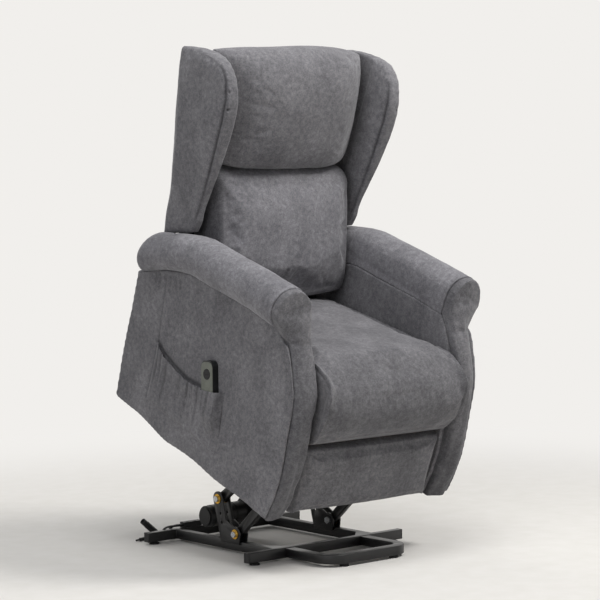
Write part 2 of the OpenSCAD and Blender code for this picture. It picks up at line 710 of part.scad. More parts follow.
// roll sections: round outside, upright inside, cut flat where they sit on the arm's side box
cut_angle = asin(roll_cut / (roll_d / 2));
function roll_ring(v, drop, k) = [for (i = [0:19])
    let (a = -cut_angle + i * (180 + 2 * cut_angle) / 19, r = k * roll_d / 2)
    [roll_u + r * (a > 180 ? -1 : cos(a)), v, roll_w + drop + max(r * sin(a), -roll_cut + 0.05)]];
module arm_roll() {
    color("#636367") chair_place() skin(concat([for (p = roll_line) roll_ring(p[0], p[1], 1)],
        [roll_ring(658, -81, 0.94), roll_ring(roll_rear, -86, 0.78)]));
}
module arm_roll_left() { arm_roll(); }
module arm_roll_right() { mirror([1, 0, 0]) arm_roll(); }
front_low = -6;
u_outer = [[front_low, 315], [60, 318], [120, 321], [240, 322], [360, 321], [410, 318], [440, 315],
    [462, 317], [roll_w - 46, 336], [roll_w - 22, 354], [roll_w, roll_u + roll_d / 2], [roll_w + 22, 354],
    [roll_w + 41, 342], [roll_w + 52, 327], [roll_w + 58, 308]];
u_inner = [[front_low, 252], [60, 247], [200, 243], [300, arm_in + 1], [roll_w, arm_in + 1],
    [roll_w + 22, 246], [roll_w + 41, 258], [roll_w + 52, 273], [roll_w + 58, 292]];
arm_front_steps = concat([front_low, 12, 30], front_heights,
    [for (d = [-47, -22, 0, 22, 41, 52, 58]) roll_w + d]);
front_round = 9;
// the padding stands further out towards the seat
front_swell = [[front_low, 2], [60, 12], [140, 14], [440, 14], [roll_w, 10], [roll_w + 58, 4]];
function front_ring(w) = let (a = lookup(w, u_inner), b = lookup(w, u_outer), f = arm_front_v(w),
        k = arm_back_v(w), r = min(front_round, (b - a) / 3), s = r * 0.3, g = f - lookup(w, front_swell))
    [[a, k, w], [a, g + r, w], [a + s, g + s, w], [a + r, g, w], [(a + b) / 2, g, w], [b - r, f, w],
     [b - s, f + s, w], [b, f + r, w], [b, k, w]];
module arm_front() { color("#5f5f63") chair_place() skin([for (w = arm_front_steps) front_ring(w)]); }
module arm_front_left() { arm_front(); }
module arm_front_right() { mirror([1, 0, 0]) arm_front(); }

// ================= pocket and handset (sitter's right) =================
panel_u = arm_in + arm_t;
pocket_t = 4;
handset_low = [274, 173];
module handset_frame() {
    chair_place() translate([-(panel_u + handset_gap + handset_t / 2), handset_low[0], handset_low[1]])
        rotate([-chair_tilt, 0, 0]) children();
}
handset_gap = 1;
channel_in = 0.3;
channel_h = 57;
pocket_lift = 4;          // the pocket's cloth stands off the arm's side
pocket_mouth = [[548, 236], [515, 224], [464, 211], [415, 202], [370, 203], [336, 209], [300, 219]];
pocket_edge = [[265, 232], [248, 171], [238, 98], [246, 68], [540, 76], [552, 110]];
// inner edge of the sewn border, from the rear corner round to the front one
pocket_hem = [[548, 236], [540, 236], [530, 88], [256, 84], [248, 98], [256, 168], [272, 230]];
// an outline in [v, w] against the sitter's right arm, reaching from x to x + t outside its side
module on_panel(x, t) { chair_place() slab(-panel_u + x, t) children(); }
module channel(grow, low, high) {
    translate([-handset_t / 2 - grow, -handset_w / 2 - grow, low])
        cube([handset_t + 2 * grow + 10, handset_w + 2 * grow, high - low]);
}
module side_pocket() {
    color("#606064") difference() {
        union() {
            on_panel(-pocket_lift - pocket_t, pocket_t) polygon(concat(pocket_mouth, pocket_edge));
            on_panel(-pocket_lift, pocket_lift - soft_gap) polygon(concat(pocket_hem, pocket_edge));
            intersection() {
                handset_frame() channel(channel_in + pocket_t, -pocket_t - channel_in, channel_h);
                on_panel(-60, 60 - soft_gap) translate([200, 0]) square([250, 400]);
            }
        }
        handset_frame() channel(channel_in, -channel_in, 200);
    }
}
module handset_shape(h, t, inset) {
    r = 16;
    translate([0, 0, h / 2]) rotate([90, 0, 90]) translate([0, 0, -t / 2]) linear_extrude(t) offset(r = r)
        square([handset_w - 2 * r - 2 * inset, h - 2 * r - 2 * inset], center = true);
}
face_t = 2;
module handset_body() {
    color("#17181a") handset_frame() difference() {
        translate([face_t / 2, 0, 0]) handset_shape(handset_h, handset_t - face_t, 0);
        translate([-handset_t / 2, 0, button_mid]) rotate([0, 90, 0]) cylinder(h = 6, d = 30);
    }
}
button_mid = 95;
module handset_face() {
    color("#4b4d47") handset_frame() translate([-handset_t / 2, 0, 0]) difference() {
        translate([(face_t - run_gap) / 2, 0, 3]) handset_shape(handset_h - 6, face_t - run_gap, 0.5);
        translate([-1, 0, button_mid]) rotate([0, 90, 0]) cylinder(h = 6, d = 28);
    }
}
button_travel = 1.5;
module button(s) {
    color("#0f1011") handset_frame() translate([-handset_t / 2 - 0.6, 0, button_mid]) rotate([0, 90, 0])
        intersection() {
            cylinder(h = 4, d = 27);
            translate([s > 0 ? -20 : 0.4, -20, 0]) cube([19.6, 40, 6]);
        }
}
module button_up() { button(1); }
module button_down() { button(-1); }

// ================= rear skirt =================
module rear_skirt() {
    color("#58585c") chair_place() translate([-arm_in, 672, 14]) cube([2 * arm_in, 12, 116]);
}

// ================= seat cushion =================
cushion_base = seat_frame_w + spring_wire + 3 * soft_gap;
function from_base(p) = [for (q = p) [q[0], cushion_base + q[1]]];
seat_outline = smooth(from_base([[548, 8], [556, 60], [536, 100], [409, 126], [245, 146], [127, 160],
    [46, 161], [4, 151], [-32, 131], [-50, 100], [-52, 56], [-40, 4], [-10, -37], [18, -42], [42, -32],
    [50, 2], [120, 0], [400, 0]]), 2);
// the nose turns back at its corners, where the footrest's links and rivets need room
seat_side_outline = smooth(from_base([[548, 8], [556, 60], [536, 100], [409, 126], [245, 146], [127, 158],
    [62, 157], [36, 145], [18, 122], [9, 92], [6, 56], [5, 14], [12, -12], [30, -10], [48, -6.4], [58, 6],
    [126, 4.5], [400, 0]]), 2);
rivet_head_t = 2.5;
seat_round = 8;
seat_half = arm_in - cushion_play;
corner_half = layer_1 - rivet_head_t - 0.6;      // half width at which the corners have turned back
seat_steps = [for (u = [seat_half - 24, seat_half - 42, seat_half - 66, 130, 80, 28]) u];
function seat_station(u) = [u, 0, 1 - pow(abs(u) / seat_half, 2.4)];
seat_edge = [for (a = [0:30:60]) [seat_half - seat_round * (1 - cos(a)), seat_round * (1 - sin(a)), 0.02]];
seat_half_stations = concat(seat_edge, [[corner_half, 0, 0.02], seat_station(corner_half - 3)],
    [for (u = seat_steps) seat_station(u)]);
function seat_ring(s) = let (share = to_side(s[0], seat_half - 80, corner_half, 2.6))
    [for (p = puffed(blended(seat_outline, seat_side_outline, share), s[1], seat_crown * s[2], [-0.35, 0.94]))
        [s[0], p[0], p[1]]];
module seat_cushion() {
    last = len(seat_half_stations) - 1;
    color("#626266") chair_place() skin([for (i = [0:2 * last + 1])
        let (s = seat_half_stations[i <= last ? i : 2 * last + 1 - i])
        seat_ring([i <= last ? -s[0] : s[0], s[1], s[2]])]);
}

// ================= back =================
function lean_v(v0, w) = v0 + (w - 200) * tan(post_lean);
post_v = 600;
post = 20;
module post_beam(u, w0, w1) {
    translate([u, lean_v(post_v, w0), w0]) rotate([-post_lean, 0, 0])
        cube([post, post, (w1 - w0) / cos(post_lean)]);
}
module back_frame() {
    color("#3a3b3e") chair_place() {
        both() post_beam(layer_1 - post, 200, 955);
        for (w = [210, 430, 700, 935])
            translate([-layer_1 + post, lean_v(post_v, w) + 1, w]) rotate([-post_lean, 0, 0])
                cube([2 * (layer_1 - post), post - 2, post]);
    }
}
module back_hinges() {
    color("#222325") chair_place() both() slab(layer_1, link_t) difference() {
        union() {
            translate(hinge_pin) circle(r = 16);
            polygon([[hinge_pin[0] - 14, hinge_pin[1] - 8], [hinge_pin[0] + 4, hinge_pin[1] - 16],
                [lean_v(post_v, 215) + 18, 212], [lean_v(post_v, 400) + 18, 400], [lean_v(post_v, 400), 400],
                [hinge_pin[0] - 14, hinge_pin[1] + 8]]);
        }
        translate(hinge_pin) circle(d = bolt_d + 2 * run_gap);
    }
}
shell_low = [[640, 172], [655, 172], [668, 300], [672, 507], [654, 507], [642, 300]];
shell_high = [[654, 507], [672, 507], [714, 750], [750, 955], [746, 978], [728, 990], [704, 992], [690, 990],
    [690, 972], [712, 968], [716, 950]];
module back_shell() {
    color("#57575b") chair_place() {
        translate([-(arm_in - cushion_play), 0, 0]) slab(0, 2 * (arm_in - cushion_play)) polygon(shell_low);
        translate([-(wing_in - soft_gap), 0, 0]) slab(0, 2 * (wing_in - soft_gap)) polygon(shell_high);
    }
}
wing_in = wing_span / 2 - wing_t;
// its lower edge runs just over the arm's roll
wing_outline = smooth([[553, roll_w + 26], [539, 617], [529, 690], [518, 778], [511, 863], [515, 925],
    [538, 984], [579, 1015], [630, 1023], [684, 1016], [736, 1002], [750, 985], [733, 881], [706, 723],
    [668, roll_w - 25], [648, roll_w - 13], [612, roll_w + 5]], 2);
wing_steps = [[0, 12], [3, 5], [11, 0], [wing_t - 11, 0], [wing_t - 3, 5], [wing_t, 12]];
function wing_rings() = [for (s = wing_steps)
    [for (p = puffed(wing_outline, s[1], 0, [0, 0])) [wing_in + s[0], p[0], p[1]]]];
module wing() { color("#636367") chair_place() skin(wing_rings()); }
module wing_left() { wing(); }
module wing_right() { mirror([1, 0, 0]) wing(); }
// a point d ahead of the posts' front, behind a back cushion
function on_post(w, d) = [lean_v(post_v, w) - d, w];
head_rear = [on_post(1008, 2), on_post(960, 0.3), on_post(820, 0.3), on_post(745, 0.6)];
head_outline = smooth(concat([on_post(719, 8), [600, 718], [580, 724], [562, 750], [554, 795], [552, 850],
    [559, 920], [576, 980], [600, 1018], [634, 1033], [664, 1031]], head_rear), 2);
// at its sides the cushion is thin, behind the wings' front edges
head_side_outline = smooth(concat([on_post(722, 6), [638, 724], [630, 734], [630, 760], [632, 800], [636, 850],
    [643, 920], [651, 970], [660, 1002], [668, 1014], [676, 1013]], head_rear), 2);
head_half = wing_in - cushion_play;
head_steps = [for (t = [1, 0.97, 0.9, 0.81, 0.7, 0.57, 0.42, 0.25, 0.08]) t * head_half];
function head_ring(u) = let (t = abs(u) / head_half, share = to_side(u, head_half * 0.5, head_half, 2))
    [for (p = puffed(blended(head_outline, head_side_outline, share), 10 * max(0, t - 0.9), back_crown
        * (1 - pow(t, 2.4)), [-1, 0])) [u, p[0], p[1]]];
module head_cushion() {
    last = len(head_steps) - 1;
    color("#646468") chair_place() skin([for (i = [0:2 * last + 1])
        head_ring(i <= last ? -head_steps[i] : head_steps[2 * last + 1 - i])]);
}
lumbar_outline = smooth([[634, 708], [600, 710], [578, 702], [556, 682], [524, 616], [498, 540], [478, 470],
    [474, 425], [492, 392], [530, 382], [590, 384], [612, 400], on_post(500, 6),
    on_post(640, 0.9), on_post(690, 0.9)], 2);
module back_cushion() {
    color("#626266") chair_place()
        cushion(lumbar_outline, arm_in - cushion_play - 2, 26, back_crown, [-1, 0], 8);
}

// ================= footrest =================
function along(p, len, a) = p + len * [cos(a), sin(a)];
slope_a = -45;
slope_b = -49;
slope_c = 168.5;
link_b_len = 203;
cross_on_b = 168;
foot_bracket_high = [62, 140];
foot_bracket_low = [60, 85];
end_a = along(link_pivot_a, link_a_len, slope_a);
end_b = along(link_pivot_b, link_b_len, slope_b);
cross_pt = along(link_pivot_b, cross_on_b, slope_b);
vec_c = foot_bracket_high - end_a;
vec_d = foot_bracket_low - end_b;
module stud(x, len, p) { cross_rod(x, len, rivet_d, p); }
module foot_link(x, from, vec, far_bore) {
    slab(x, link_t) translate(from) bar_2d(norm(vec), link_w, atan2(vec[1], vec[0]),
        far_bore ? [0, norm(vec)] : [0], rivet_d + 2 * run_gap);
}
module footrest_links_a() {
    color("#2b2c2e") chair_place() both() {
        foot_link(layer_1, link_pivot_a, end_a - link_pivot_a, false);
        stud(layer_2, link_t + side_gap + 0.5, end_a);
        cross_rod(layer_2 - rivet_head_t, rivet_head_t, rivet_d + 5, end_a);
    }
}
module footrest_links_b() {
    color("#2b2c2e") chair_place() both() {
        foot_link(layer_1, link_pivot_b, end_b - link_pivot_b, false);
        stud(layer_2, link_t + side_gap + 0.5, end_b);
        cross_rod(layer_2 - rivet_head_t, rivet_head_t, rivet_d + 5, end_b);
        cross_rod(layer_1 - side_gap + 0.2, side_gap, rivet_d + 4, cross_pt);
    }
}
module footrest_links_c() {
    color("#2b2c2e") chair_place() both() {
        foot_link(layer_2, end_a, vec_c, false);
        stud(layer_2, link_t + side_gap + link_t, foot_bracket_high);
        cross_rod(layer_2 - rivet_head_t, rivet_head_t, rivet_d + 5, foot_bracket_high);
    }
}
module footrest_links_d() {
    color("#2b2c2e") chair_place() both() {
        foot_link(layer_2, end_b, vec_d, false);
        cross_rod(layer_2 - rivet_head_t, rivet_head_t, rivet_d + 5, foot_bracket_low);
    }
}
board_rear = 47;
board_t = 12;
pad_depth = 35;
foot_low = 2;
module footrest_board() {
    color("#b08c5f") chair_place() translate([-layer_1, board_rear - board_t, foot_low + 8])
        cube([2 * layer_1, board_t, foot_panel_h - 18]);
    color("#2b2c2e") chair_place() both() {
        slab(layer_1, link_t) difference() {
            polygon([[board_rear, 62], [foot_bracket_low[0] + 8, 74], [foot_bracket_high[0] + 9, 140],
                [foot_bracket_high[0], 150], [board_rear, 152]]);
            translate(foot_bracket_high) circle(d = rivet_d + 2 * run_gap);
            translate(foot_bracket_low) circle(d = rivet_d);
        }
    }
}
pad_back = board_rear - board_t - soft_gap;
foot_high = foot_low + foot_panel_h;
pad_face = pad_back - 0.4;
pad_outline = smooth([[pad_back - 4, foot_low + 2], [14, foot_low], [0, foot_low], [-7, foot_low + 4],
    [-9, foot_low + 20], [-9, foot_low + foot_panel_h / 2], [-8, foot_high - 30], [-2, foot_high - 6],
    [14, foot_high], [pad_back - 4, foot_high - 2], [pad_face, foot_high - 14],
    [pad_face, foot_low + foot_panel_h / 2], [pad_face, foot_low + 14]], 2);
module footrest_pad() {
    color("#636367") chair_place() cushion(pad_outline, foot_panel_width / 2, 5, 7, [-1, 0], 6);
}

base_frame();
front_loop();
tube_caps();
base_feet();
pivot_bracket_left();
pivot_bracket_right();
pivot_bolts();
pivot_bushings();
motor_clevis();
lower_arm_left();
lower_arm_right();
lower_arm_tube();
upper_arm_left();
upper_arm_right();
gearbox();
drive_motor();
motor_end_cap();
actuator_tube();
actuator_rod();
motor_lead();
inline_connector();
lead_connector();
small_plug();
seat_box();
seat_springs();
mech_plate_left();
mech_plate_right();
mech_tubes();
lift_bracket_left();
lift_bracket_right();
actuator_crossbar();
chair_pins();
arm_body_left();
arm_body_right();
arm_roll_left();
arm_roll_right();
arm_front_left();
arm_front_right();
side_pocket();
rear_skirt();
seat_cushion();
back_frame();
back_hinges();
back_shell();
wing_left();
wing_right();
head_cushion();
back_cushion();
footrest_links_a();
footrest_links_b();
footrest_links_c();
footrest_links_d();
footrest_board();
footrest_pad();
handset_body();
handset_face();
button_up();
button_down();
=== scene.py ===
# %% [markdown]
# # A lift recliner, dressed
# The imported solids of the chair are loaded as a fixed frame. Every soft piece is then made
# again as cloth over foam, and every steel, plastic and wooden piece gets its own finish.
# Nothing here changes a size: the solids say where each piece is and how big it is.

# %% Load the frame
from math import pi, radians

import bpy
import numpy as np
from mathutils import Matrix, Vector, noise


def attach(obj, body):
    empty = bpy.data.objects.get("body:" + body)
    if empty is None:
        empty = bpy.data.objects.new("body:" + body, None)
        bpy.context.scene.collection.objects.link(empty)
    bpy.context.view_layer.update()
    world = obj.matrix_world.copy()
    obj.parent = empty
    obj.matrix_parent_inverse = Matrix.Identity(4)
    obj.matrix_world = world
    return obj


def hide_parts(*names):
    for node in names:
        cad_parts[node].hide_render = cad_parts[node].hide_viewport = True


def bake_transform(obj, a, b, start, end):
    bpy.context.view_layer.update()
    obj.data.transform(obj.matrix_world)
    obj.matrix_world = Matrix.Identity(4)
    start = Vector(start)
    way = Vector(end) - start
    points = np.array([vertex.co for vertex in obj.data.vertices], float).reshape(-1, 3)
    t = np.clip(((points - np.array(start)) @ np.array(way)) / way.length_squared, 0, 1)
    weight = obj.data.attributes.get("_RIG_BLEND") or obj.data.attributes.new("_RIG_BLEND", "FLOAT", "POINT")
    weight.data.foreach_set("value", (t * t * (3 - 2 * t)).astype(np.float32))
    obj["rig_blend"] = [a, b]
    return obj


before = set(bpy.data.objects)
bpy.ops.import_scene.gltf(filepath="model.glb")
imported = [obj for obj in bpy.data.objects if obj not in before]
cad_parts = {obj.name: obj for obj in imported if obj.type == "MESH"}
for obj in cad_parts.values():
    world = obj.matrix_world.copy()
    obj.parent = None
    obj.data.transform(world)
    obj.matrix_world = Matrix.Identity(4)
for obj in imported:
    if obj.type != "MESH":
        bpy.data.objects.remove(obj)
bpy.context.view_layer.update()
scene = bpy.context.scene

# %% [markdown]
# ## The camera
# A long lens far away keeps the chair's sides nearly parallel, as in a catalogue picture.
# The camera is placed by its own turn about the upright axis, its dip and its small roll, and
# comes first because the cords are measured against what it sees.

# %% Camera
lens_mm = 138.07
eye = Vector((-3.9912, -4.6414, 1.1004))
heading, dip, roll = radians(-40.71), radians(4.03), radians(-0.55)
camera_data = bpy.data.cameras.new("camera")
camera_data.lens = lens_mm
camera_data.sensor_width = 36
camera = bpy.data.objects.new("camera", camera_data)
scene.collection.objects.link(camera)
camera.matrix_world = (Matrix.Translation(eye) @ Matrix.Rotation(heading, 4, "Z")
                       @ Matrix.Rotation(pi / 2 - dip, 4, "X") @ Matrix.Rotation(roll, 4, "Z"))
scene.camera = camera
scene.view_settings.view_transform = "Standard"
print("camera", [round(c, 3) for c in camera.location])

# %% [markdown]
# ## Colours and nodes
# Colours are written as they look on a screen. Blender computes with light, so one function
# turns them to linear values. One more function adds a shader node with its settings and links.

# %% Colour and node helpers
def srgb(code):
    """A screen colour such as #80a0c0 as linear light."""
    parts = [int(code[i:i + 2], 16) / 255 for i in (1, 3, 5)]
    return tuple(c / 12.92 if c <= 0.04045 else ((c + 0.055) / 1.055) ** 2.4 for c in parts) + (1.0,)


def add(tree, kind, settings=None, links=None):
    """Adds a node. A setting is one of its inputs, by name or number, or a property of the node."""
    node = tree.nodes.new(kind)
    for name, value in (settings or {}).items():
        if isinstance(name, int) or name in node.inputs:
            node.inputs[name].default_value = value
        else:
            setattr(node, name, value)
    for name, source in (links or {}).items():
        tree.links.new(source, node.inputs[name])
    return node


def new_finish(name, **shader_values):
    """A material with its shader set; returns the material, its tree, the shader and Object coordinates."""
    material = bpy.data.materials.new(name)
    material.use_nodes = True
    tree = material.node_tree
    shader = tree.nodes["Principled BSDF"]
    for key, value in shader_values.items():
        shader.inputs[key.replace("_", " ")].default_value = value
    return material, tree, shader, add(tree, "ShaderNodeTexCoord").outputs["Object"]


def grain(tree, place, size_mm, detail=3.0, roughness=0.55):
    """Noise whose patches are about size_mm across."""
    return add(tree, "ShaderNodeTexNoise", {"Scale": 1000 / (1.6 * size_mm), "Detail": detail,
               "Roughness": roughness}, {"Vector": place}).outputs["Fac"]


def tones(tree, value, stops):
    """Turns a value to colours through a ramp of (position, colour) stops."""
    ramp = add(tree, "ShaderNodeValToRGB", links={"Fac": value})
    while len(ramp.color_ramp.elements) < len(stops):
        ramp.color_ramp.elements.new(0.5)
    for element, (position, code) in zip(ramp.color_ramp.elements, stops):
        element.position = position
        element.color = srgb(code)
    return ramp.outputs["Color"]


def raise_surface(tree, shader, layers):
    """Chains bumps of (height, strength, depth in mm) onto the shader's normal."""
    under = None
    for height, strength, depth in layers:
        links = {"Height": height} if under is None else {"Height": height, "Normal": under}
        settings = {"Strength": strength, "Distance": depth / 1000}
        under = add(tree, "ShaderNodeBump", settings, links).outputs["Normal"]
    tree.links.new(under, shader.inputs["Normal"])


def mixed(tree, a, b, factor, blend="MIX"):
    """Two colours mixed; factor is a number or a socket, a and b are sockets or colours."""
    node = add(tree, "ShaderNodeMix", {"data_type": "RGBA", "blend_type": blend})
    for slot, source in ((0, factor), (6, a), (7, b)):
        if isinstance(source, bpy.types.NodeSocket):
            tree.links.new(source, node.inputs[slot])
        else:
            node.inputs[slot].default_value = source
    return node.outputs[2]


print("helpers ready")

# %% [markdown]
# ## Floor and light
# The floor is plain and pale. Near the chair it takes the shadow as paint would; farther out it
# fades into the backdrop colour, so no horizon cuts the picture from any side. The backdrop shows
# only to the camera and in reflections and adds no light to the chair. A bent paper sweep would
# do the same from one side; a plane that fades out works from all sides.

# %% Floor
backdrop = "#f1efec"
floor_size = 24
fade_starts, fade_ends = 0.8, 2.6


def seen_directly(tree):
    """1 for rays from the camera, from gloss and through glass."""
    path = add(tree, "ShaderNodeLightPath")
    either = add(tree, "ShaderNodeMath", {"operation": "MAXIMUM"}, {0: path.outputs["Is Camera Ray"],
                 1: path.outputs["Is Glossy Ray"]})
    return add(tree, "ShaderNodeMath", {"operation": "MAXIMUM"}, {0: either.outputs[0],
               1: path.outputs["Is Transmission Ray"]}).outputs[0]


bpy.ops.object.select_all(action="DESELECT")
bpy.ops.mesh.primitive_plane_add(size=floor_size, location=(0, 0, 0))
floor = bpy.context.object
floor.name = "studio_floor"
paint, tree, shader, place = new_finish("pale matt floor paint", Roughness=0.85)
shader.inputs["Specular IOR Level"].default_value = 0.2
speckle = grain(tree, place, 40, 4)
tree.links.new(tones(tree, speckle, [(0.3, "#d9d7d2"), (0.7, "#dedcd8")]), shader.inputs["Base Color"])
raise_surface(tree, shader, [(grain(tree, place, 6), 0.05, 0.3)])
away = add(tree, "ShaderNodeVectorMath", {"operation": "LENGTH"}, {0: place}).outputs["Value"]
fade = add(tree, "ShaderNodeMapRange", {"interpolation_type": "SMOOTHERSTEP", "From Min": fade_starts,
           "From Max": fade_ends}, {"Value": away}).outputs["Result"]
fade = add(tree, "ShaderNodeMath", {"operation": "MULTIPLY"}, {0: fade, 1: seen_directly(tree)}).outputs[0]
glow = add(tree, "ShaderNodeEmission", {"Color": srgb(backdrop), "Strength": 1.0})
both_ways = add(tree, "ShaderNodeMixShader", links={0: fade, 1: shader.outputs[0], 2: glow.outputs[0]})
tree.links.new(both_ways.outputs[0], tree.nodes["Material Output"].inputs["Surface"])
floor.data.materials.append(paint)
print("floor", floor.dimensions[:])

# %% Backdrop and lamps
world = bpy.data.worlds.new("studio")
scene.world = world
world.use_nodes = True
tree = world.node_tree
soft = tree.nodes["Background"]
soft.inputs["Color"].default_value = srgb("#f4f5f7")
soft.inputs["Strength"].default_value = 0.34
seen = add(tree, "ShaderNodeBackground", {"Color": srgb(backdrop), "Strength": 1.0})
swap = add(tree, "ShaderNodeMixShader",
           links={0: seen_directly(tree), 1: soft.outputs[0], 2: seen.outputs[0]})
tree.links.new(swap.outputs[0], tree.nodes["World Output"].inputs["Surface"])


def lamp(name, spot, target, size, watts, code):
    """A round area lamp at a spot, aimed at its target."""
    data = bpy.data.lights.new(name, "AREA")
    data.shape = "DISK"
    data.size = size
    data.energy = watts
    data.color = srgb(code)[:3]
    holder = bpy.data.objects.new(name, data)
    scene.collection.objects.link(holder)
    holder.location = spot
    holder.rotation_euler = (Vector(target) - Vector(spot)).to_track_quat("-Z", "Y").to_euler()


lamp("key", (1.7, -2.1, 3.9), (0, 0, 0.7), 1.5, 122, "#fffdfb")
lamp("fill", (-3.4, -1.6, 1.8), (0, 0, 0.6), 2.2, 30, "#f6f6fa")
lamp("top", (-0.7, -0.9, 3.7), (0, 0, 0.7), 1.6, 50, "#ffffff")
lamp("rear", (0.5, 3.4, 2.2), (0, 0, 0.7), 2.0, 30, "#fffdfa")

# %% [markdown]
# ## The leads
# Three limp leads, 6 mm thick. One comes down from the gearbox to the flat connector that rests on
# the rear crossbar. Two leave that connector, drop behind the crossbar and end in a round
# connector and in a small plug. Each is a tube on one smooth line through the points of its route,
# because a lead has no edges to model and its length can then be measured along that line.

# %% Leads
base_front = 105.9
lead_d = 0.006


def on_base(points):
    """Points from the front crossbar, in millimetres, as row frame metres."""
    return [Vector((x / 1000, (y - base_front) / 1000, z / 1000)) for x, y, z in points]


def smooth_route(points, steps):
    """A smooth line through the points, with steps pieces between two of them."""
    line = []
    last = len(points) - 1
    for i in range(last):
        a, b, c, d = (points[max(i - 1, 0)], points[i], points[i + 1], points[min(i + 2, last)])
        for k in range(steps):
            t = k / steps
            line.append(0.5 * (2 * b + (c - a) * t + (2 * a - 5 * b + 4 * c - d) * t * t
                               + (3 * b - a - 3 * c + d) * t ** 3))
    return line + [points[last]]


def long(line):
    """A line's length in metres."""
    return sum((b - a).length for a, b in zip(line, line[1:]))


def tube(name, line, radius, sides=3):
    """A round tube along a line, as a curve with closed ends."""
    data = bpy.data.curves.new(name, "CURVE")
    data.dimensions = "3D"
    data.bevel_depth = radius
    data.bevel_resolution = sides
    data.use_fill_caps = True
    spline = data.splines.new("POLY")
    spline.points.add(len(line) - 1)
    for point, spot in zip(spline.points, line):
        point.co = (*spot, 1)
    piece = bpy.data.objects.new(name, data)
    scene.collection.objects.link(piece)
    return piece


gear_route = on_base([[-19, 358.4, 65], [-19, 364.6, 59.3], [-19.6, 372, 52.6], [-21.6, 381, 46.6],
                      [-25.5, 391, 42.6], [-31.5, 402, 40.8], [-39.5, 413, 40.4], [-44.6, 419.1, 40.4],
                      [-50, 424, 40.5], [-56.3, 428.7, 40.6], [-63, 432.5, 40.7], [-69, 435, 40.9],
                      [-75, 436.8, 41], [-80.3, 437.7, 41], [-85.7, 438, 41]])
long_route = on_base([[-148.3, 442, 41], [-160, 442.5, 41], [-171, 446, 39], [-179.5, 451, 33],
                      [-183, 455.5, 24.5], [-180.5, 459, 15.5], [-173, 461.5, 8], [-160, 463.2, 4],
                      [-146, 464, 3.3], [-132, 466, 3.3], [-122, 470, 3.3], [-118, 480, 3.3],
                      [-122, 490, 3.3], [-132, 494, 3.3], [-145, 494.4, 3.3], [-158.2, 493.4, 3.3],
                      [-170.6, 492.6, 3.4], [-176.6, 492.3, 4.1], [-182, 492.1, 5.9], [-188.3, 492, 10.6]])
short_route = on_base([[-148.3, 434, 41], [-162, 434.2, 41], [-176, 436, 41], [-189, 441, 40.3],
                       [-198, 448, 36.5], [-202, 455, 29], [-203, 461, 20], [-202, 467, 11.5],
                       [-200, 475, 5.5], [-198.4, 480, 4.1], [-197.6, 485, 3.4], [-199.5, 494.5, 3.3],
                       [-206, 500.4, 3.5], [-214.5, 502.3, 4.2], [-224.3, 502, 5]])
gear_line, long_line, short_line = (smooth_route(r, 3) for r in (gear_route, long_route, short_route))
gear_lead = tube("gear_lead", gear_line, lead_d / 2)
long_lead = tube("long_lead", long_line, lead_d / 2)
short_lead = tube("short_lead", short_line, lead_d / 2)
print("lead lengths", [round(long(l), 3) for l in (gear_line, long_line, short_line)])

# %% [markdown]
# ## Brushed chenille
# The cover is a soft polyester chenille, brushed so that its nap lies in patches. The eye sees three
# sizes of change: fine mottling of the tufts, a few millimetres across, blotches as wide as a hand's
# stroke where the nap leans another way, and a pale sheen where the cloth turns away. Shade is painted
# into seams, creases and folds, and over panels that face down or away from the lamps; each piece keeps
# that painted shade in an attribute. A picture of cloth could be wrapped on instead, but noise in the
# piece's own coordinates needs no unwrapping and runs over every cushion at the same size.

# %% Chenille
def chenille(name, dark, mid, light, sheen=0.32):
    """Tufts and mottling give the colour, the lie of the nap makes it paler or deeper."""
    cloth, tree, shader, place = new_finish(name, Roughness=0.92)
    shader.inputs["Specular IOR Level"].default_value = 0.12
    shader.inputs["Sheen Weight"].default_value = sheen
    shader.inputs["Sheen Roughness"].default_value = 0.42
    shader.inputs["Sheen Tint"].default_value = srgb("#d9dadc")
    tufts = grain(tree, place, 2.2, 4, 0.62)
    mottle = grain(tree, place, 7, 3, 0.6)
    drawn = add(tree, "ShaderNodeMapping", {"Scale": (1, 1, 0.7)}, {"Vector": place}).outputs["Vector"]
    nap = grain(tree, drawn, 55, 3, 0.5)
    fine = mixed(tree, tones(tree, tufts, [(0.34, dark), (0.5, mid), (0.68, light)]),
                 tones(tree, mottle, [(0.34, dark), (0.52, mid), (0.7, light)]), 0.5)
    broad = tones(tree, nap, [(0.36, "#d2d2d3"), (0.52, "#ececec"), (0.68, "#ffffff")])
    worked = mixed(tree, fine, broad, 0.75, "MULTIPLY")
    # Painted shade: the colour is darkened towards #17171a as far as the piece's shade attribute says.
    painted_shade = add(tree, "ShaderNodeAttribute", {"attribute_name": "painted_shade"}).outputs["Fac"]
    tree.links.new(mixed(tree, worked, srgb("#17171a"), painted_shade), shader.inputs["Base Color"])
    raise_surface(tree, shader, [(nap, 0.10, 2.5), (mottle, 0.22, 0.9), (tufts, 0.45, 0.5)])
    return cloth


cover = chenille("brushed grey chenille", "#605f63", "#777679", "#908f92")
# A lighter copy of the cloth for the lumbar cushion and the arm rolls: painted light on the panels that
# catch the lamps.
lit_cover = chenille("grey chenille with painted light", "#68676b", "#807f83", "#9a999d")
print("cloths:", cover.name, "/", lit_cover.name)

# %% [markdown]
# ## Painted and bare metal
# The base and linkage are mild steel under a black powder coat, which has a fine orange peel and
# patches rubbed a little smoother. Pins are zinc plated, springs drawn wire and the rings brass.
# Black paint is not a metal to the eye, so the coat is a dark plastic-like skin, and only the bare
# ones are set metallic. Fine lines across one axis show how each was drawn, turned or ground.

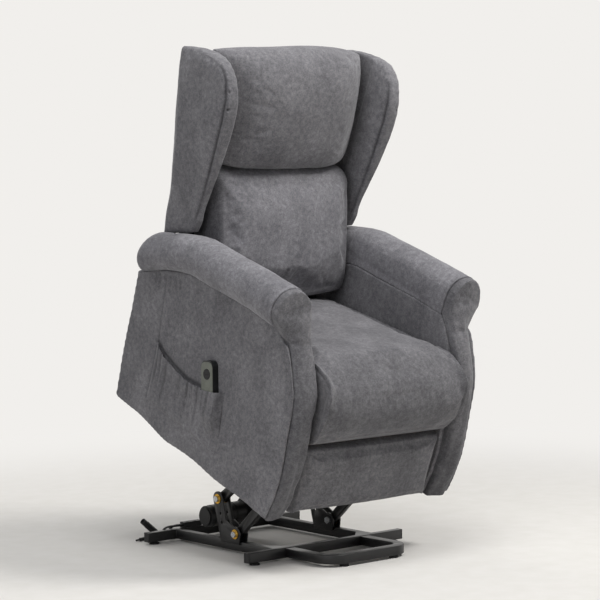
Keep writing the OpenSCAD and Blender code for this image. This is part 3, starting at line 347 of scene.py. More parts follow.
# %% Metals
def coated_steel(name, low, high, rough, peel_mm):
    """Powder coat: a soft plastic-like skin, with its wavy surface drawn at peel_mm."""
    coat, tree, shader, place = new_finish(name, Roughness=rough)
    shader.inputs["Specular IOR Level"].default_value = 0.45
    peel = grain(tree, place, peel_mm, 2)
    dust = grain(tree, place, 38, 4, 0.6)
    colour = mixed(tree, tones(tree, peel, [(0.35, low), (0.65, high)]),
                   tones(tree, dust, [(0.4, low), (0.75, high)]), 0.4)
    tree.links.new(colour, shader.inputs["Base Color"])
    rubbed = add(tree, "ShaderNodeMapRange", {"From Min": 0.3, "From Max": 0.75, "To Min": rough - 0.08,
                 "To Max": rough + 0.12}, {"Value": dust}).outputs["Result"]
    tree.links.new(rubbed, shader.inputs["Roughness"])
    raise_surface(tree, shader, [(peel, 0.12, 0.25)])
    return coat


def bare_metal(name, low, high, rough, line_mm, axis):
    """Bare metal with fine drawn or turned lines across one axis."""
    metal, tree, shader, place = new_finish(name, Metallic=1.0, Roughness=rough)
    stretch = [1.0, 1.0, 1.0]
    stretch[axis] = 0.06
    lined = add(tree, "ShaderNodeMapping", {"Scale": stretch}, {"Vector": place}).outputs["Vector"]
    lines = grain(tree, lined, line_mm, 3)
    stain = grain(tree, place, 9, 4, 0.65)
    stained = tones(tree, stain, [(0.35, low), (0.65, high)])
    tree.links.new(mixed(tree, stained, srgb(high), 0.45), shader.inputs["Base Color"])
    worn = add(tree, "ShaderNodeMapRange", {"From Min": 0.3, "From Max": 0.7, "To Min": rough - 0.06,
               "To Max": rough + 0.1}, {"Value": stain}).outputs["Result"]
    tree.links.new(worn, shader.inputs["Roughness"])
    raise_surface(tree, shader, [(lines, 0.15, 0.15)])
    return metal


black_coat = coated_steel("matt black powder coat on steel", "#0b0b0c", "#141416", 0.36, 1.6)
link_coat = coated_steel("dark grey coated link steel", "#232426", "#303134", 0.46, 1.4)
zinc = bare_metal("zinc plated bolt steel", "#8f9296", "#c3c6ca", 0.3, 0.8, 0)
wire = bare_metal("drawn spring wire", "#6f7276", "#a3a6aa", 0.36, 0.7, 1)
rod_steel = bare_metal("ground chrome steel rod", "#a8abb0", "#d4d7da", 0.16, 0.6, 1)
brass = bare_metal("turned brass", "#a67a26", "#d9ab4c", 0.3, 0.6, 0)
print("metals:", [m.name for m in (black_coat, link_coat, zinc, wire, rod_steel, brass)])

# %% [markdown]
# ## Plastics, rubber and wood
# The motor housing is moulded ABS with a fine spark-eroded texture, and the plugs are soft PVC.
# Feet are matt rubber. The wooden frames are pine, sawn along the board. Their grain lines are a
# wave whose scale of 52 puts them 6 mm apart.

# %% Plastics, rubber, wood
def moulded(name, low, high, rough, pit_mm, level=0.4):
    """Moulded plastic or rubber: fine pits, and patches made shinier by handling."""
    plastic, tree, shader, place = new_finish(name, Roughness=rough)
    shader.inputs["Specular IOR Level"].default_value = level
    pits = grain(tree, place, pit_mm, 2)
    handled = grain(tree, place, 14, 3)
    tree.links.new(tones(tree, handled, [(0.35, low), (0.7, high)]), shader.inputs["Base Color"])
    shine = add(tree, "ShaderNodeMapRange", {"From Min": 0.3, "From Max": 0.7, "To Min": rough - 0.06,
                "To Max": rough + 0.08}, {"Value": handled}).outputs["Result"]
    tree.links.new(shine, shader.inputs["Roughness"])
    raise_surface(tree, shader, [(pits, 0.18, 0.15)])
    return plastic


housing = moulded("black textured ABS housing", "#0b0b0c", "#131315", 0.46, 0.9)
plug_plastic = moulded("black moulded PVC plug", "#161617", "#202022", 0.5, 0.8)
lead_skin = moulded("black PVC lead", "#0d0d0e", "#171719", 0.46, 1.2)
rubber = moulded("matt black rubber", "#121213", "#1b1b1c", 0.8, 1.0, 0.25)
remote_shell = moulded("satin black remote housing", "#0f1011", "#191a1b", 0.34, 0.6, 0.5)
remote_face = moulded("olive grey remote panel", "#5c5f57", "#6d7068", 0.5, 0.6)
key_rubber = moulded("black silicone key", "#0c0c0d", "#161617", 0.55, 0.5, 0.35)
cap_plastic = moulded("black polyethylene tube cap", "#171718", "#222224", 0.58, 0.9, 0.35)

pine, tree, shader, place = new_finish("sawn pine", Roughness=0.75)
along = add(tree, "ShaderNodeMapping", {"Scale": (0.12, 1, 1)}, {"Vector": place}).outputs["Vector"]
rings = add(tree, "ShaderNodeTexWave", {"Scale": 52.0, "Distortion": 5.0, "Detail": 3.0,
            "bands_direction": "Z"}, {"Vector": along}).outputs["Fac"]
pores = grain(tree, along, 1.2, 4)
ring_tones = tones(tree, rings, [(0.15, "#b58a58"), (0.6, "#cfa873"), (0.95, "#dcbc8b")])
pore_tones = tones(tree, pores, [(0.4, "#a97f50"), (0.6, "#d6b482")])
tree.links.new(mixed(tree, ring_tones, pore_tones, 0.35), shader.inputs["Base Color"])
raise_surface(tree, shader, [(rings, 0.15, 0.3), (pores, 0.3, 0.3)])
print("others:", [m.name for m in (housing, plug_plastic, lead_skin, rubber, remote_shell, remote_face,
                                    key_rubber, cap_plastic, pine)])

# %% [markdown]
# ## Working on pieces
# The upholstered part of the chair leans forward with the lift, so its pieces are shaped in the
# chair's own axes: u across, v back and w up, in millimetres. These helpers select a piece, copy a
# solid's mesh as the start of a cloth piece, and carry points into the chair's axes and back.

# %% The chair's axes
chair_tilt = radians(21.3)
chair_spot = np.array([0, -0.225118, 0.142125])
chair_turn = np.array(Matrix.Rotation(chair_tilt, 3, "X"))


def to_chair(points):
    return (np.asarray(points, float) - chair_spot) @ chair_turn * 1000


def from_chair(points):
    return np.asarray(points, float) / 1000 @ chair_turn.T + chair_spot


print("chair axes at", chair_spot.round(4), "leaning", round(np.degrees(chair_tilt), 1))


# %% Select, edit and copy
def pick(piece):
    """Selects one piece alone and makes it active."""
    bpy.ops.object.select_all(action="DESELECT")
    piece.select_set(True)
    bpy.context.view_layer.objects.active = piece
    return piece


def edit(*steps):
    """Runs edit mode steps on everything in the active piece."""
    bpy.ops.object.mode_set(mode="EDIT")
    bpy.ops.mesh.select_all(action="SELECT")
    for step in steps:
        step()
    bpy.ops.object.mode_set(mode="OBJECT")


def merge():
    """Joins points that lie together, as the corners of loose triangles do."""
    bpy.ops.mesh.remove_doubles(threshold=0.00002)


def copy_of(node, name):
    """The solid's mesh as a new object, its loose triangles merged."""
    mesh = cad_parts[node].data.copy()
    mesh.materials.clear()
    piece = bpy.data.objects.new(name, mesh)
    scene.collection.objects.link(piece)
    pick(piece)
    edit(merge)
    return piece


print("select, edit and copy ready")


# %% Read and move points
def points_of(piece):
    """The piece's points as rows of x, y and z."""
    flat = np.empty(len(piece.data.vertices) * 3)
    piece.data.vertices.foreach_get("co", flat)
    return flat.reshape(-1, 3)


def normals_of(piece):
    """The way that each point's surface faces."""
    flat = np.empty(len(piece.data.vertices) * 3)
    piece.data.vertex_normals.foreach_get("vector", flat)
    return flat.reshape(-1, 3)


def place_points(piece, points):
    piece.data.vertices.foreach_set("co", np.asarray(points, float).ravel())
    piece.data.update()


def reshape(piece, rule):
    """Moves the piece's points by rule(points, normals), both in the chair's axes."""
    place_points(piece, from_chair(rule(to_chair(points_of(piece)), normals_of(piece) @ chair_turn)))


def kept_in(piece, **limits):
    """Keeps a piece within limits such as u=(-238, 238), in the chair's axes and millimetres."""
    def rule(points, normals):
        for axis, (low, high) in limits.items():
            column = "uvw".index(axis)
            points[:, column] = np.clip(points[:, column], low, high)
        return points
    reshape(piece, rule)


print("point helpers ready")


# %% Modifiers
def apply_modifier(piece, name, kind, **settings):
    pick(piece)
    modifier = piece.modifiers.new(name, kind)
    for key, value in settings.items():
        setattr(modifier, key, value)
    bpy.ops.object.modifier_apply(modifier=modifier.name)


def remesh(piece, voxel_mm):
    """Makes the piece anew as an even net of squares about voxel_mm wide."""
    pick(piece)
    piece.data.remesh_voxel_size = voxel_mm / 1000
    bpy.ops.object.voxel_remesh()


def soften(piece):
    """One subdivision, applied, and smooth shading."""
    apply_modifier(piece, "Subdivision", "SUBSURF", levels=1, render_levels=1)
    pick(piece)
    bpy.ops.object.shade_smooth()


print("modifier helpers ready")

# %% [markdown]
# ## Rules for soft shapes
# Upholstery changes gently from place to place. Most rules below are built from a smooth step
# from 0 to 1 between two places, a soft bump at one place, and a smooth unevenness whose seed is
# fixed, so that each run gives the same cloth.

# %% Steps, bumps and unevenness
def smooth_step(x, low, high):
    """0 below low, 1 above high and an S-shaped rise between them."""
    t = np.clip((x - low) / (high - low), 0, 1)
    return t * t * (3 - 2 * t)


def bump_at(x, centre, width):
    """1 at the centre, falling smoothly to 0 over about twice the width."""
    return np.exp(-((x - centre) / width) ** 2)


def rumple(points, size_mm, seed, stretch=(1, 1, 1)):
    """Smooth noise from -1 to 1 at each point; the seed shifts it, so it is the same each run."""
    scaled = points * np.array(stretch) / size_mm + seed * 17.3
    return np.array([noise.noise(p) for p in scaled])


print("steps, bumps and unevenness ready")


# %% Seams and creases
def far_from(points, line):
    """Each point's distance to a line of straight pieces, and where along it from 0 to 1."""
    best = np.full(len(points), 1e9)
    share = np.zeros(len(points))
    line = np.asarray(line, float)
    for i in range(len(line) - 1):
        step = line[i + 1] - line[i]
        t = np.clip((points - line[i]) @ step / max(step @ step, 1e-9), 0, 1)
        gap = np.linalg.norm(points - line[i] - t[:, None] * step, axis=1)
        near = gap < best
        best[near] = gap[near]
        share[near] = (i + t[near]) / (len(line) - 1)
    return best, share


def press(piece, line, width, depth, dark=0.5, ends=True):
    """Presses a seam or crease along a line in the chair's axes and paints shade into it, as much as dark.
    """
    points, normals = to_chair(points_of(piece)), normals_of(piece) @ chair_turn
    gap, share = far_from(points, line)
    force = np.exp(-(gap / width) ** 2)
    if ends:
        force *= smooth_step(share, 0, 0.12) * smooth_step(1 - share, 0, 0.12)
    place_points(piece, from_chair(points - normals * (depth * force)[:, None]))
    shade(piece, force * dark)


def shade(piece, amount):
    """Adds painted shade, from 0 to 1, to the piece's shade attribute, which darkens its cloth."""
    layer = piece.data.attributes.get("painted_shade") or piece.data.attributes.new("painted_shade", "FLOAT", "POINT")
    old = np.zeros(len(piece.data.vertices))
    layer.data.foreach_get("value", old)
    layer.data.foreach_set("value", np.clip(np.maximum(old, amount), 0, 1).astype(np.float32))


print("seams and creases ready")


# %% Twins and finishes
def mirrored(piece, name):
    """The piece's twin on the other side of the chair, with its faces turned right side out."""
    twin = bpy.data.objects.new(name, piece.data.copy())
    scene.collection.objects.link(twin)
    place_points(twin, points_of(twin) * np.array([-1, 1, 1]))
    pick(twin)
    edit(bpy.ops.mesh.flip_normals)
    return twin


def dress(piece, finish, body, slot, *nodes):
    """Gives a piece its finish and its body and hides the solids it stands for; slot is not used."""
    piece.data.materials.clear()
    piece.data.materials.append(finish)
    if "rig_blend" not in piece:
        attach(piece, body)
    if nodes:
        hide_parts(*nodes)
    return piece


print("twins and finishes ready")

# %% [markdown]
# ## Foam under cloth
# A cushion is stuffed: its cover bulges between its seams. The solid's mesh is drawn in a little,
# made into an even net of small squares, and blown up by Blender's cloth simulation with gravity
# off. How far a point may move is capped, and points that rest on something are held.

# %% Cloth simulation
def stuff(piece, voxel_mm, inset, cap, held=None, pressure=4.0, frames=20):
    """Blows the piece up. cap(points) gives the most that each point may move, in millimetres."""
    remesh(piece, voxel_mm)
    reshape(piece, lambda p, n: p - n * np.minimum(inset, cap(p))[:, None])
    start = to_chair(points_of(piece))
    pick(piece)
    if held is not None:
        group = piece.vertex_groups.new(name="held")
        group.add([int(i) for i in np.flatnonzero(held(start))], 1.0, "REPLACE")
    cloth = piece.modifiers.new("Cloth", "CLOTH")
    cloth.settings.quality = 4
    cloth.settings.mass = 0.3
    cloth.settings.tension_stiffness = 20
    cloth.settings.compression_stiffness = 20
    cloth.settings.shear_stiffness = 8
    cloth.settings.bending_stiffness = 1.2
    cloth.settings.use_pressure = True
    cloth.settings.uniform_pressure_force = pressure
    cloth.settings.effector_weights.gravity = 0
    if held is not None:
        cloth.settings.vertex_group_mass = "held"
    cloth.point_cache.frame_start, cloth.point_cache.frame_end = 1, frames
    for step in range(1, frames + 1):
        scene.frame_set(step)
    bpy.ops.object.modifier_apply(modifier="Cloth")
    scene.frame_set(1)
    piece.vertex_groups.clear()
    moved = to_chair(points_of(piece)) - start
    size = np.linalg.norm(moved, axis=1)
    most = cap(start)
    scale = np.where(size > 1e-6, np.minimum(1, most / np.maximum(size, 1e-6)), 1)
    place_points(piece, from_chair(start + moved * scale[:, None]))
    soften(piece)
    print(piece.name, "swelled by up to", round(float((size * scale).max()), 1), "mm")
    return piece


print("stuffing ready; quick look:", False)

# %% [markdown]
# ## Seat cushion
# A thick foam block with a rolled nose that hangs over the footrest. Its top crowns and its sides
# are flat boxing, joined to the top by a seam with a thin edge. It rests on springs, so its
# underside and rear are held while the rest is blown up. A rounded box could stand for it, but
# only swollen cloth gets the fullness between its seams, and the seams are pressed in last.

# %% Seat cushion
seat = copy_of("seat_cushion", "seat_cushion_cover")
boxing_u = 235.5
between_arms = 239.2


def full_nose(p, n):
    """The nose runs at its full depth up to the boxing, a flat panel at each side."""
    p[:, 0] *= 1 + 0.38 * (1 - smooth_step(p[:, 1], 70, 150))
    p[:, 0] = np.clip(p[:, 0], -boxing_u, boxing_u)
    return p


reshape(seat, full_nose)


def seat_cap(p):
    """How far the seat may swell: most on its top and nose, less towards the boxing and the back."""
    u, v, w = p.T
    top = smooth_step(w, 300, 380)
    nose = smooth_step(-v, -60, 10) * smooth_step(w, 205, 250)
    side = 1 - smooth_step(np.abs(u), 205, 234)
    return 1.2 + 12 * np.maximum(top, nose * 0.75) * (0.15 + 0.85 * side) * (1 - smooth_step(v, 470, 540))


stuff(seat, 6, 7, seat_cap, held=lambda p: (p[:, 2] < 246) & (p[:, 1] > 35))
kept_in(seat, u=(-between_arms, between_arms))


def nose_bulge(p, n):
    """In front of the arms the nose swells a little wider than the gap between them."""
    p[:, 0] *= 1 + 0.03 * smooth_step(-p[:, 1], 22, 42)
    return p


reshape(seat, nose_bulge)


def seat_shape(p, n):
    """A slight dip where people sit, and an uneven surface where it shows."""
    sat_on = np.exp(-((p[:, 0] / 150) ** 2 + ((p[:, 1] - 300) / 190) ** 2)) * smooth_step(p[:, 2], 330, 380)
    p[:, 2] -= 5 * sat_on
    soft = rumple(p, 70, 3) * 1.6 + rumple(p, 26, 5) * 0.6
    exposed = smooth_step(p[:, 2], 300, 370) + smooth_step(-p[:, 1], 0, 40)
    return p + n * (soft * np.clip(exposed, 0, 1))[:, None]


reshape(seat, seat_shape)
boxing_seam = [(530, 342), (420, 364), (300, 380), (245, 386), (127, 400), (46, 401), (4, 391), (-32, 371),
               (-50, 340), (-52, 296), (-44, 252), (-22, 216)]
# The boxing seams and the puckers beside them are pressed in and get painted shade.
for side in (-1, 1):
    press(seat, [(side * 233, v + 3, w - 4) for v, w in boxing_seam], 3.6, 3.2, 0.42)
    for k, v in enumerate((-20, 22, 60, 104, 150)):
        pucker = [(side * 230, v, 398 - abs(v) * 0.06), (side * (200 - 6 * (k % 3)), v + 9, 402)]
        press(seat, pucker, 5, 1.5, 0.12)
# Painted shade: the whole seat a little darker, and the nose more, as it faces down.
seen_low = to_chair(points_of(seat))
shade(seat, 0.16 * smooth_step(-seen_low[:, 1], -60, 20) + 0.1)
dress(seat, cover, "chair", "upholstery", "seat_cushion")
print("seat points", len(seat.data.vertices))

# %% [markdown]
# ## Head and lumbar cushions
# Two fibre-filled pillows are sewn to the back one above the other. Their fronts are full and a
# little uneven, they gather where the wings squeeze them, and a deep dark gap parts them. Their
# rears lie on the frame and are held. The gathers are pressed in by lines, because folds so
# narrow would need a much finer net to come out of the simulation by themselves.

# %% Head cushion
head = copy_of("head_cushion", "head_cushion_cover")


def head_cap(p):
    """How far the head cushion may swell: its front, less towards its sides and its foot."""
    u, v, w = p.T
    front = smooth_step(-v, -(600 + (w - 700) * 0.08), -(560 + (w - 700) * 0.08))
    side = 1 - smooth_step(np.abs(u), 175, 236)
    return 1.0 + 13 * front * (0.2 + 0.8 * side) * smooth_step(w, 722, 770)


stuff(head, 6, 6, head_cap, held=lambda p: p[:, 1] > 606 + (p[:, 2] - 720) * 0.105)
kept_in(head, u=(-253, 253))


def head_shape(p, n):
    """The top edge waves a little and the front is uneven."""
    u, v, w = p.T
    front = smooth_step(-v, -620, -580)
    wave = 3.5 * np.sin(u / 62 + 0.6) * smooth_step(w, 960, 1020)
    p[:, 2] += wave
    soft = rumple(p, 85, 11) * 2.4 + rumple(p, 30, 13) * 0.8
    return p + n * (soft * front)[:, None]


reshape(head, head_shape)
# The gathers where the wings squeeze it and the creases at its foot are pressed in with painted shade.
for k, w in enumerate((806, 822, 842, 856, 884, 897)):
    for side in (-1, 1):
        press(head, [(side * 246, 602, w), (side * (206 - 8 * (k % 3)), 562, w + 4)], 4.5, 3.4, 0.38)
for k, u in enumerate((-205, -120, -30, 70, 160, 214)):
    press(head, [(u, 586, 735), (u + 5, 566, 764 + 5 * (k % 2))], 6, 1.6, 0.12)
dress(head, cover, "back", "upholstery", "head_cushion")

# %% Lumbar cushion
lumbar = copy_of("back_cushion", "lumbar_cushion_cover")


def lumbar_cap(p):
    """How far the lumbar cushion may swell: its front, less at its sides, head and foot."""
    u, v, w = p.T
    front = smooth_step(-v, -(560 + (w - 400) * 0.1), -(515 + (w - 400) * 0.1))
    side = 1 - smooth_step(np.abs(u), 180, 228)
    return 0.8 + 13 * front * (0.2 + 0.8 * side) * (1 - smooth_step(w, 650, 700)) * smooth_step(w, 388, 430)


stuff(lumbar, 6, 6, lumbar_cap, held=lambda p: p[:, 1] > 596 + (p[:, 2] - 400) * 0.105)


def lumbar_shape(p, n):
    """The foot sinks on to the seat and spreads, and the front is uneven."""
    foot = 1 - smooth_step(p[:, 2], 392, 470)
    p[:, 2] -= 9 * foot * smooth_step(-p[:, 1], -560, -520)
    p[:, 0] *= 1 + 0.035 * foot
    soft = rumple(p, 90, 21) * 1.8 + rumple(p, 28, 23) * 0.7
    return p + n * (soft * smooth_step(-p[:, 1], -590, -540))[:, None]


reshape(lumbar, lumbar_shape)
kept_in(lumbar, u=(-237, 237))
# Side seams and gathers, pressed in with painted shade.
for side in (-1, 1):
    press(lumbar, [(side * 233, 560, 690), (side * 233, 528, 610), (side * 233, 500, 530),
                   (side * 232, 486, 450), (side * 230, 500, 400)], 4, 2, 0.35)
    for k, w in enumerate((668, 640, 430, 412)):
        lean = (690 - w) * 0.2
        press(lumbar, [(side * 232, 540 - lean, w), (side * (204 - 4 * k), 520 - lean, w - 6)], 5, 2, 0.2)
# Painted shade on both sides of the lumbar cushion, beside the wings.
beside = to_chair(points_of(lumbar))
shade(lumbar, 0.5 * smooth_step(np.abs(beside[:, 0]), 192, 228))
dress(lumbar, lit_cover, "back", "upholstery", "back_cushion")

# %% [markdown]
# ## Footrest pad
# A flat upholstered board: thin foam drawn over plywood, so it is only a little full, with a
# seam all round its face. Its rear is stapled to the board and held, and its face may swell by
# a few millimetres only.

# %% Footrest pad
pad = copy_of("footrest_pad", "footrest_pad_cover")
stuff(pad, 5, 3, lambda p: 1 + 5 * smooth_step(-p[:, 1], -12, 4) * (1 - smooth_step(p[:, 2], 175, 195)),
      held=lambda p: p[:, 1] > 24)
reshape(pad, lambda p, n: p - np.array([0, 0, 8]) * smooth_step(p[:, 2], 120, 186)[:, None])
reshape(pad, lambda p, n: p + n * ((rumple(p, 60, 31) * 1.1 + rumple(p, 22, 33) * 0.4)
        * smooth_step(-p[:, 1], -10, 0))[:, None])
# The seam round the face, pressed in with painted shade.
for side in (-1, 1):
    press(pad, [(side * 229, -6, w) for w in (10, 60, 100, 140, 176)], 4, 2.2, 0.35)
press(pad, [(u, -6, 9) for u in (-228, -110, 0, 110, 228)], 4, 1.8, 0.3)
# Painted shade over the whole pad, which faces a little down.
shade(pad, np.full(len(pad.data.vertices), 0.16))
dress(pad, cover, "footrest", "upholstery", "footrest_pad")

# %% [markdown]
# ## Wings
# Each wing is a padded board with a boxed border: one seam runs parallel to its front edge, and
# the cover is nipped where the border turns round the top. Starting from the solid keeps the
# outline, and one rule thins the wing towards its foot, as its foam is. One wing is made and
# mirrored.

# %% Wings
wing = copy_of("wing_left", "wing_cover_left")


def wing_cap(p):
    """How far the wing may swell: its middle, between the front border and the rear."""
    u, v, w = p.T
    middle = smooth_step(np.minimum(v - 505, 740 - v), 0, 60)
    return 1.2 + 5 * middle * smooth_step(w, 560, 640)


stuff(wing, 5, 3, wing_cap, held=lambda p: (p[:, 0] < 260) & (p[:, 1] > 620))


def wing_taper(p, n):
    """Towards its foot the wing gets thinner from outside and reaches down to the roll."""
    u, v, w = p.T
    thinner = (20 - 9 * smooth_step(v, 560, 700)) * (1 - smooth_step(w, 540, 900))
    p[:, 0] -= thinner * np.clip((u - 256) / 50, 0, 1)
    p[:, 1] += 6 * (1 - smooth_step(w, 540, 760)) * (1 - smooth_step(v, 560, 640))
    p[:, 2] -= 8 * (1 - smooth_step(w, 545, 590))
    return p


reshape(wing, wing_taper)
reshape(wing, lambda p, n: p + n * (rumple(p, 80, 41) * 1.4 + rumple(p, 24, 43) * 0.5)[:, None])
border = [(592, 1008), (562, 996), (540, 972), (527, 925), (523, 865), (530, 780), (541, 692), (551, 617),
          (563, 562)]
# The border seams and the nips at the top are pressed in with strong painted shade, the creases at the foot
# with less.
for u, thin in ((258, 0), (303.5, 20)):
    press(wing, [(u - thin * (1 - float(smooth_step(w, 540, 900))), v, w) for v, w in border], 4.5, 4.2, 0.7)
for v, w, dv, dw in ((547, 998, -14, 6), (521, 950, -12, 4), (513, 905, -8, 2)):
    pucker = [(300, v + 8, w - 2), (288, v + dv * 0.6, w + dw), (266, v + dv * 0.5, w + dw)]
    press(wing, pucker, 3.8, 4.6, 0.8)
for k in range(5):
    press(wing, [(304, 596 + 20 * k, 548 - 6 * k), (302, 600 + 20 * k, 578 - 5 * k)], 5, 2.6, 0.32)
wing_twin = mirrored(wing, "wing_cover_right")
for piece, node in ((wing, "wing_left"), (wing_twin, "wing_right")):
    dress(piece, cover, "back", "upholstery", node)

# %% [markdown]
# ## Arms
# An arm is three pieces: a flat padded side box, a foam roll on top and a shaped front that wraps
# the roll's end. Cloth stretched over a board hardly bulges, so the side isn't simulated: its
# points are moved by rule. The side is one panel with a seam near its rear, nipped under the
# roll. One arm is made and mirrored; the sitter's right one then gets a line of painted shade along
# the pocket's mouth.

# %% Arm side
side_u = 321
arm_side = copy_of("arm_body_left", "arm_side_cover_left")
remesh(arm_side, 7)
soften(arm_side)


def arm_side_shape(p, n):
    """The outer panel is a little full, its hem waves, and its front reaches the arm front."""
    u, v, w = p.T
    edge = np.minimum.reduce([v - arm_front_line(w), 690 - v, w - 18, 470 - w])
    full = smooth_step(edge, 0, 90)
    outer = smooth_step(u, 300, 319)
    soft = rumple(p, 110, 51, (1, 1, 0.6)) * 1.4 + rumple(p, 34, 53, (1, 1, 0.5)) * 0.5
    hem = 2.2 * np.sin(v / 33 + 1) * (1 - smooth_step(w, 20, 60)) * outer
    p[:, 0] += outer * (2.2 * full + soft * 0.8 + hem * 0.6)
    p[:, 2] += 2.0 * np.sin(v / 41) * (1 - smooth_step(w, 15, 70))
    p[:, 1] -= 19 * outer * smooth_step(arm_front_line(w) + 40 - v, 0, 24) * (1 - smooth_step(w, 440, 462))
    return p


def arm_front_line(w):
    """The arm's front edge, as v at each height w."""
    heights = [0, 60, 120, 180, 240, 300, 345, 385, 425, 455]
    return np.interp(w, heights, [16, 3, -2, 2, 10, 16, 26, 46, 70, 90])


reshape(arm_side, arm_side_shape)
# The rear seam and the creases under the roll, pressed in with painted shade.
side_seam = [(572, 430), (566, 370), (558, 300), (549, 236), (545, 150), (552, 30)]
press(arm_side, [(side_u, v, w) for v, w in side_seam], 4, 2.6, 0.35)
for v, top, low, depth in ((560, 432, 382, 2.4), (584, 426, 388, 2.2), (604, 420, 376, 2.6),
                           (622, 414, 380, 2.2), (540, 436, 400, 1.8), (520, 438, 410, 1.4)):
    crease = [(side_u, v, top), (side_u, v - 8, (top + low) / 2), (side_u, v - 12, low)]
    press(arm_side, crease, 5, depth, 0.25)
arm_side_twin = mirrored(arm_side, "arm_side_cover_right")
# Painted shade along the pocket's mouth, on the side panel behind it.
mouth = [(548, 243), (515, 227), (464, 214), (400, 205), (336, 212), (290, 225)]
press(arm_side_twin, [(-side_u, v, w) for v, w in mouth], 6, 1.2, 0.75, ends=False)
for piece, node in ((arm_side, "arm_body_left"), (arm_side_twin, "arm_body_right")):
    dress(piece, cover, "chair", "upholstery", node)

# %% Arm roll
roll_piece = copy_of("arm_roll_left", "arm_roll_cover_left")


def roll_cap(p):
    """How far the roll may swell: its top, away from both ends."""
    u, v, w = p.T
    return 1.0 + 4 * smooth_step(v, 140, 240) * (1 - smooth_step(v, 560, 650)) * smooth_step(w, 470, 520)


stuff(roll_piece, 5, 3, roll_cap, held=lambda p: (p[:, 2] < 490) & (p[:, 0] < 300))


def roll_shape(p, n):
    """Slack cloth, with the rear end drawn down and back over the side."""
    u, v, w = p.T
    slack = rumple(p, 95, 61, (1, 0.5, 1)) * 2.2 + rumple(p, 30, 63, (1, 0.7, 1)) * 0.8
    p[:, 2] -= 8 * smooth_step(v, 590, 660) * (1 - smooth_step(w, 470, 530))
    p[:, 1] += 17 * smooth_step(v, 600, 668)
    return p + n * slack[:, None]


reshape(roll_piece, roll_shape)
# Creases at both ends, pressed in with a little painted shade.
for v, depth in ((132, 2.6), (146, 1.6), (598, 2.0), (622, 2.6), (640, 2.0)):
    crease = [(358, v, 470), (362, v + 4, 520), (345, v + 2, 572), (310, v - 3, 592)]
    press(roll_piece, crease, 6, depth, 0.12)
roll_twin = mirrored(roll_piece, "arm_roll_cover_right")
for piece, node in ((roll_piece, "arm_roll_left"), (roll_twin, "arm_roll_right")):
    dress(piece, lit_cover, "chair", "upholstery", node)

# %% Arm front
front = copy_of("arm_front_left", "arm_front_cover_left")


def front_cap(p):
    """How far the arm front may swell: all of it but its foot."""
    return 1.0 + 7 * smooth_step(p[:, 2], 30, 120)


stuff(front, 5, 3, front_cap, held=lambda p: p[:, 1] > np.minimum(arm_front_line(p[:, 2]), 112) + 0.5)


def front_shape(p, n):
    """An upright fold low on the front, the inner foot set back and the flank tucked in."""
    u, v, w = p.T
    lower = 1 - smooth_step(w, 250, 330)
    fold = bump_at(u, 276, 16) * lower * smooth_step(w, 20, 90)
    p[:, 1] += 5 * fold
    p[:, 1] += 9 * (1 - smooth_step(w, 90, 260)) * (1 - smooth_step(u, 262, 300))
    behind = v - arm_front_line(w)
    flank = smooth_step(u, 309, 315) * (1 - smooth_step(w, 440, 470)) * smooth_step(behind, -17, -9)
    p[:, 0] -= 5 * flank
    slack = rumple(p, 60, 71, (1, 1, 0.45)) * 1.4 + rumple(p, 22, 73, (1, 1, 0.7)) * 0.6
    return p + n * slack[:, None]


reshape(front, front_shape)
# The outer seam and the puckers at the top, pressed in with painted shade.
outer_seam = [(78, 567), (83, 536), (69, 510), (45, 478), (52, 440), (21, 383), (-5, 327), (-20, 226),
              (-21, 149), (-18, 31)]
press(front, [(356 if w > 490 else 318, v + 4, w) for v, w in outer_seam], 4.5, 2.6, 0.55)
# Painted shade on the arm front, growing towards its foot, which faces down.
low_front = to_chair(points_of(front))
shade(front, 0.14 + 0.26 * (1 - smooth_step(low_front[:, 2], 60, 420)))
for u, w in ((262, 571), (281, 584), (300, 588), (322, 584), (342, 570)):
    press(front, [(u, 104, w), (u - 2, 92, w - 3), (u - 3, 84, w - 14)], 3.2, 2.4, 0.35)
front_twin = mirrored(front, "arm_front_cover_right")
for piece, node in ((front, "arm_front_left"), (front_twin, "arm_front_right")):
    dress(piece, cover, "chair", "upholstery", node)
print("arms done")

# %% [markdown]
# ## Side pocket
# A patch of the same cloth is sewn to the sitter's right side along its ends and bottom. Its top
# edge is elastic: it dips in a curve, gathers the cloth below it and stands off the side, so a dark
# slit shows, darkened more by painted shade on the side behind it and in the folds below. Where the
# handset stands in the pocket the patch goes round it. The patch is a grid of points, because
# gathers that run down from an edge are easiest as a formula along and across it. It gets its
# thickness at the end.

# %% The pocket's outline
pocket_top = [(548, 240), (530, 232), (515, 224), (489, 216), (464, 211), (433, 205), (400, 202), (370, 203),
              (336, 209), (300, 219), (265, 230), (247, 236)]
patch_rows, patch_cols = 60, 180
top_v, top_w = np.array(pocket_top, float).T
rear_v, front_v, foot_rear_v, foot_front_v = 548, 247, 541, 232
foot_w, foot_drop = 76, 8


def patch_point(s, t):
    """A spot on the patch: s from rear to front along it, t from its top edge down."""
    v0 = rear_v + (front_v - rear_v) * s
    w0 = np.interp(-v0, -top_v, top_w)
    v1 = foot_rear_v + (foot_front_v - foot_rear_v) * s - 9 * np.sin(pi * t) * s ** 4
    w1 = foot_w - foot_drop * s
    return v0 + (v1 - v0) * t, w0 + (w1 - w0) * t


s, t = np.meshgrid(np.linspace(0, 1, patch_cols), np.linspace(0, 1, patch_rows))
v, w = patch_point(s, t)
print("pocket from", rear_v, "to", front_v, "mm, mouth lowest at", float(top_w.min()), "mm")

# %% Gathers and the handset's room
sewn_out, handset_out = 2.4, 25.0


def handset_room(v, w):
    """How far the patch stands out for the upright handset, from 0 to 1, worked out in metres."""
    spots = from_chair(np.stack([v * 0, v, w], -1))
    y, z = spots[..., 1], spots[..., 2]
    middle_y, half_width, foot_z, full_z = -0.0327, 0.0405, 0.325, 0.398
    across = smooth_step(half_width - np.abs(y - middle_y), 0, 0.012)
    return across * smooth_step(z, foot_z, full_z)


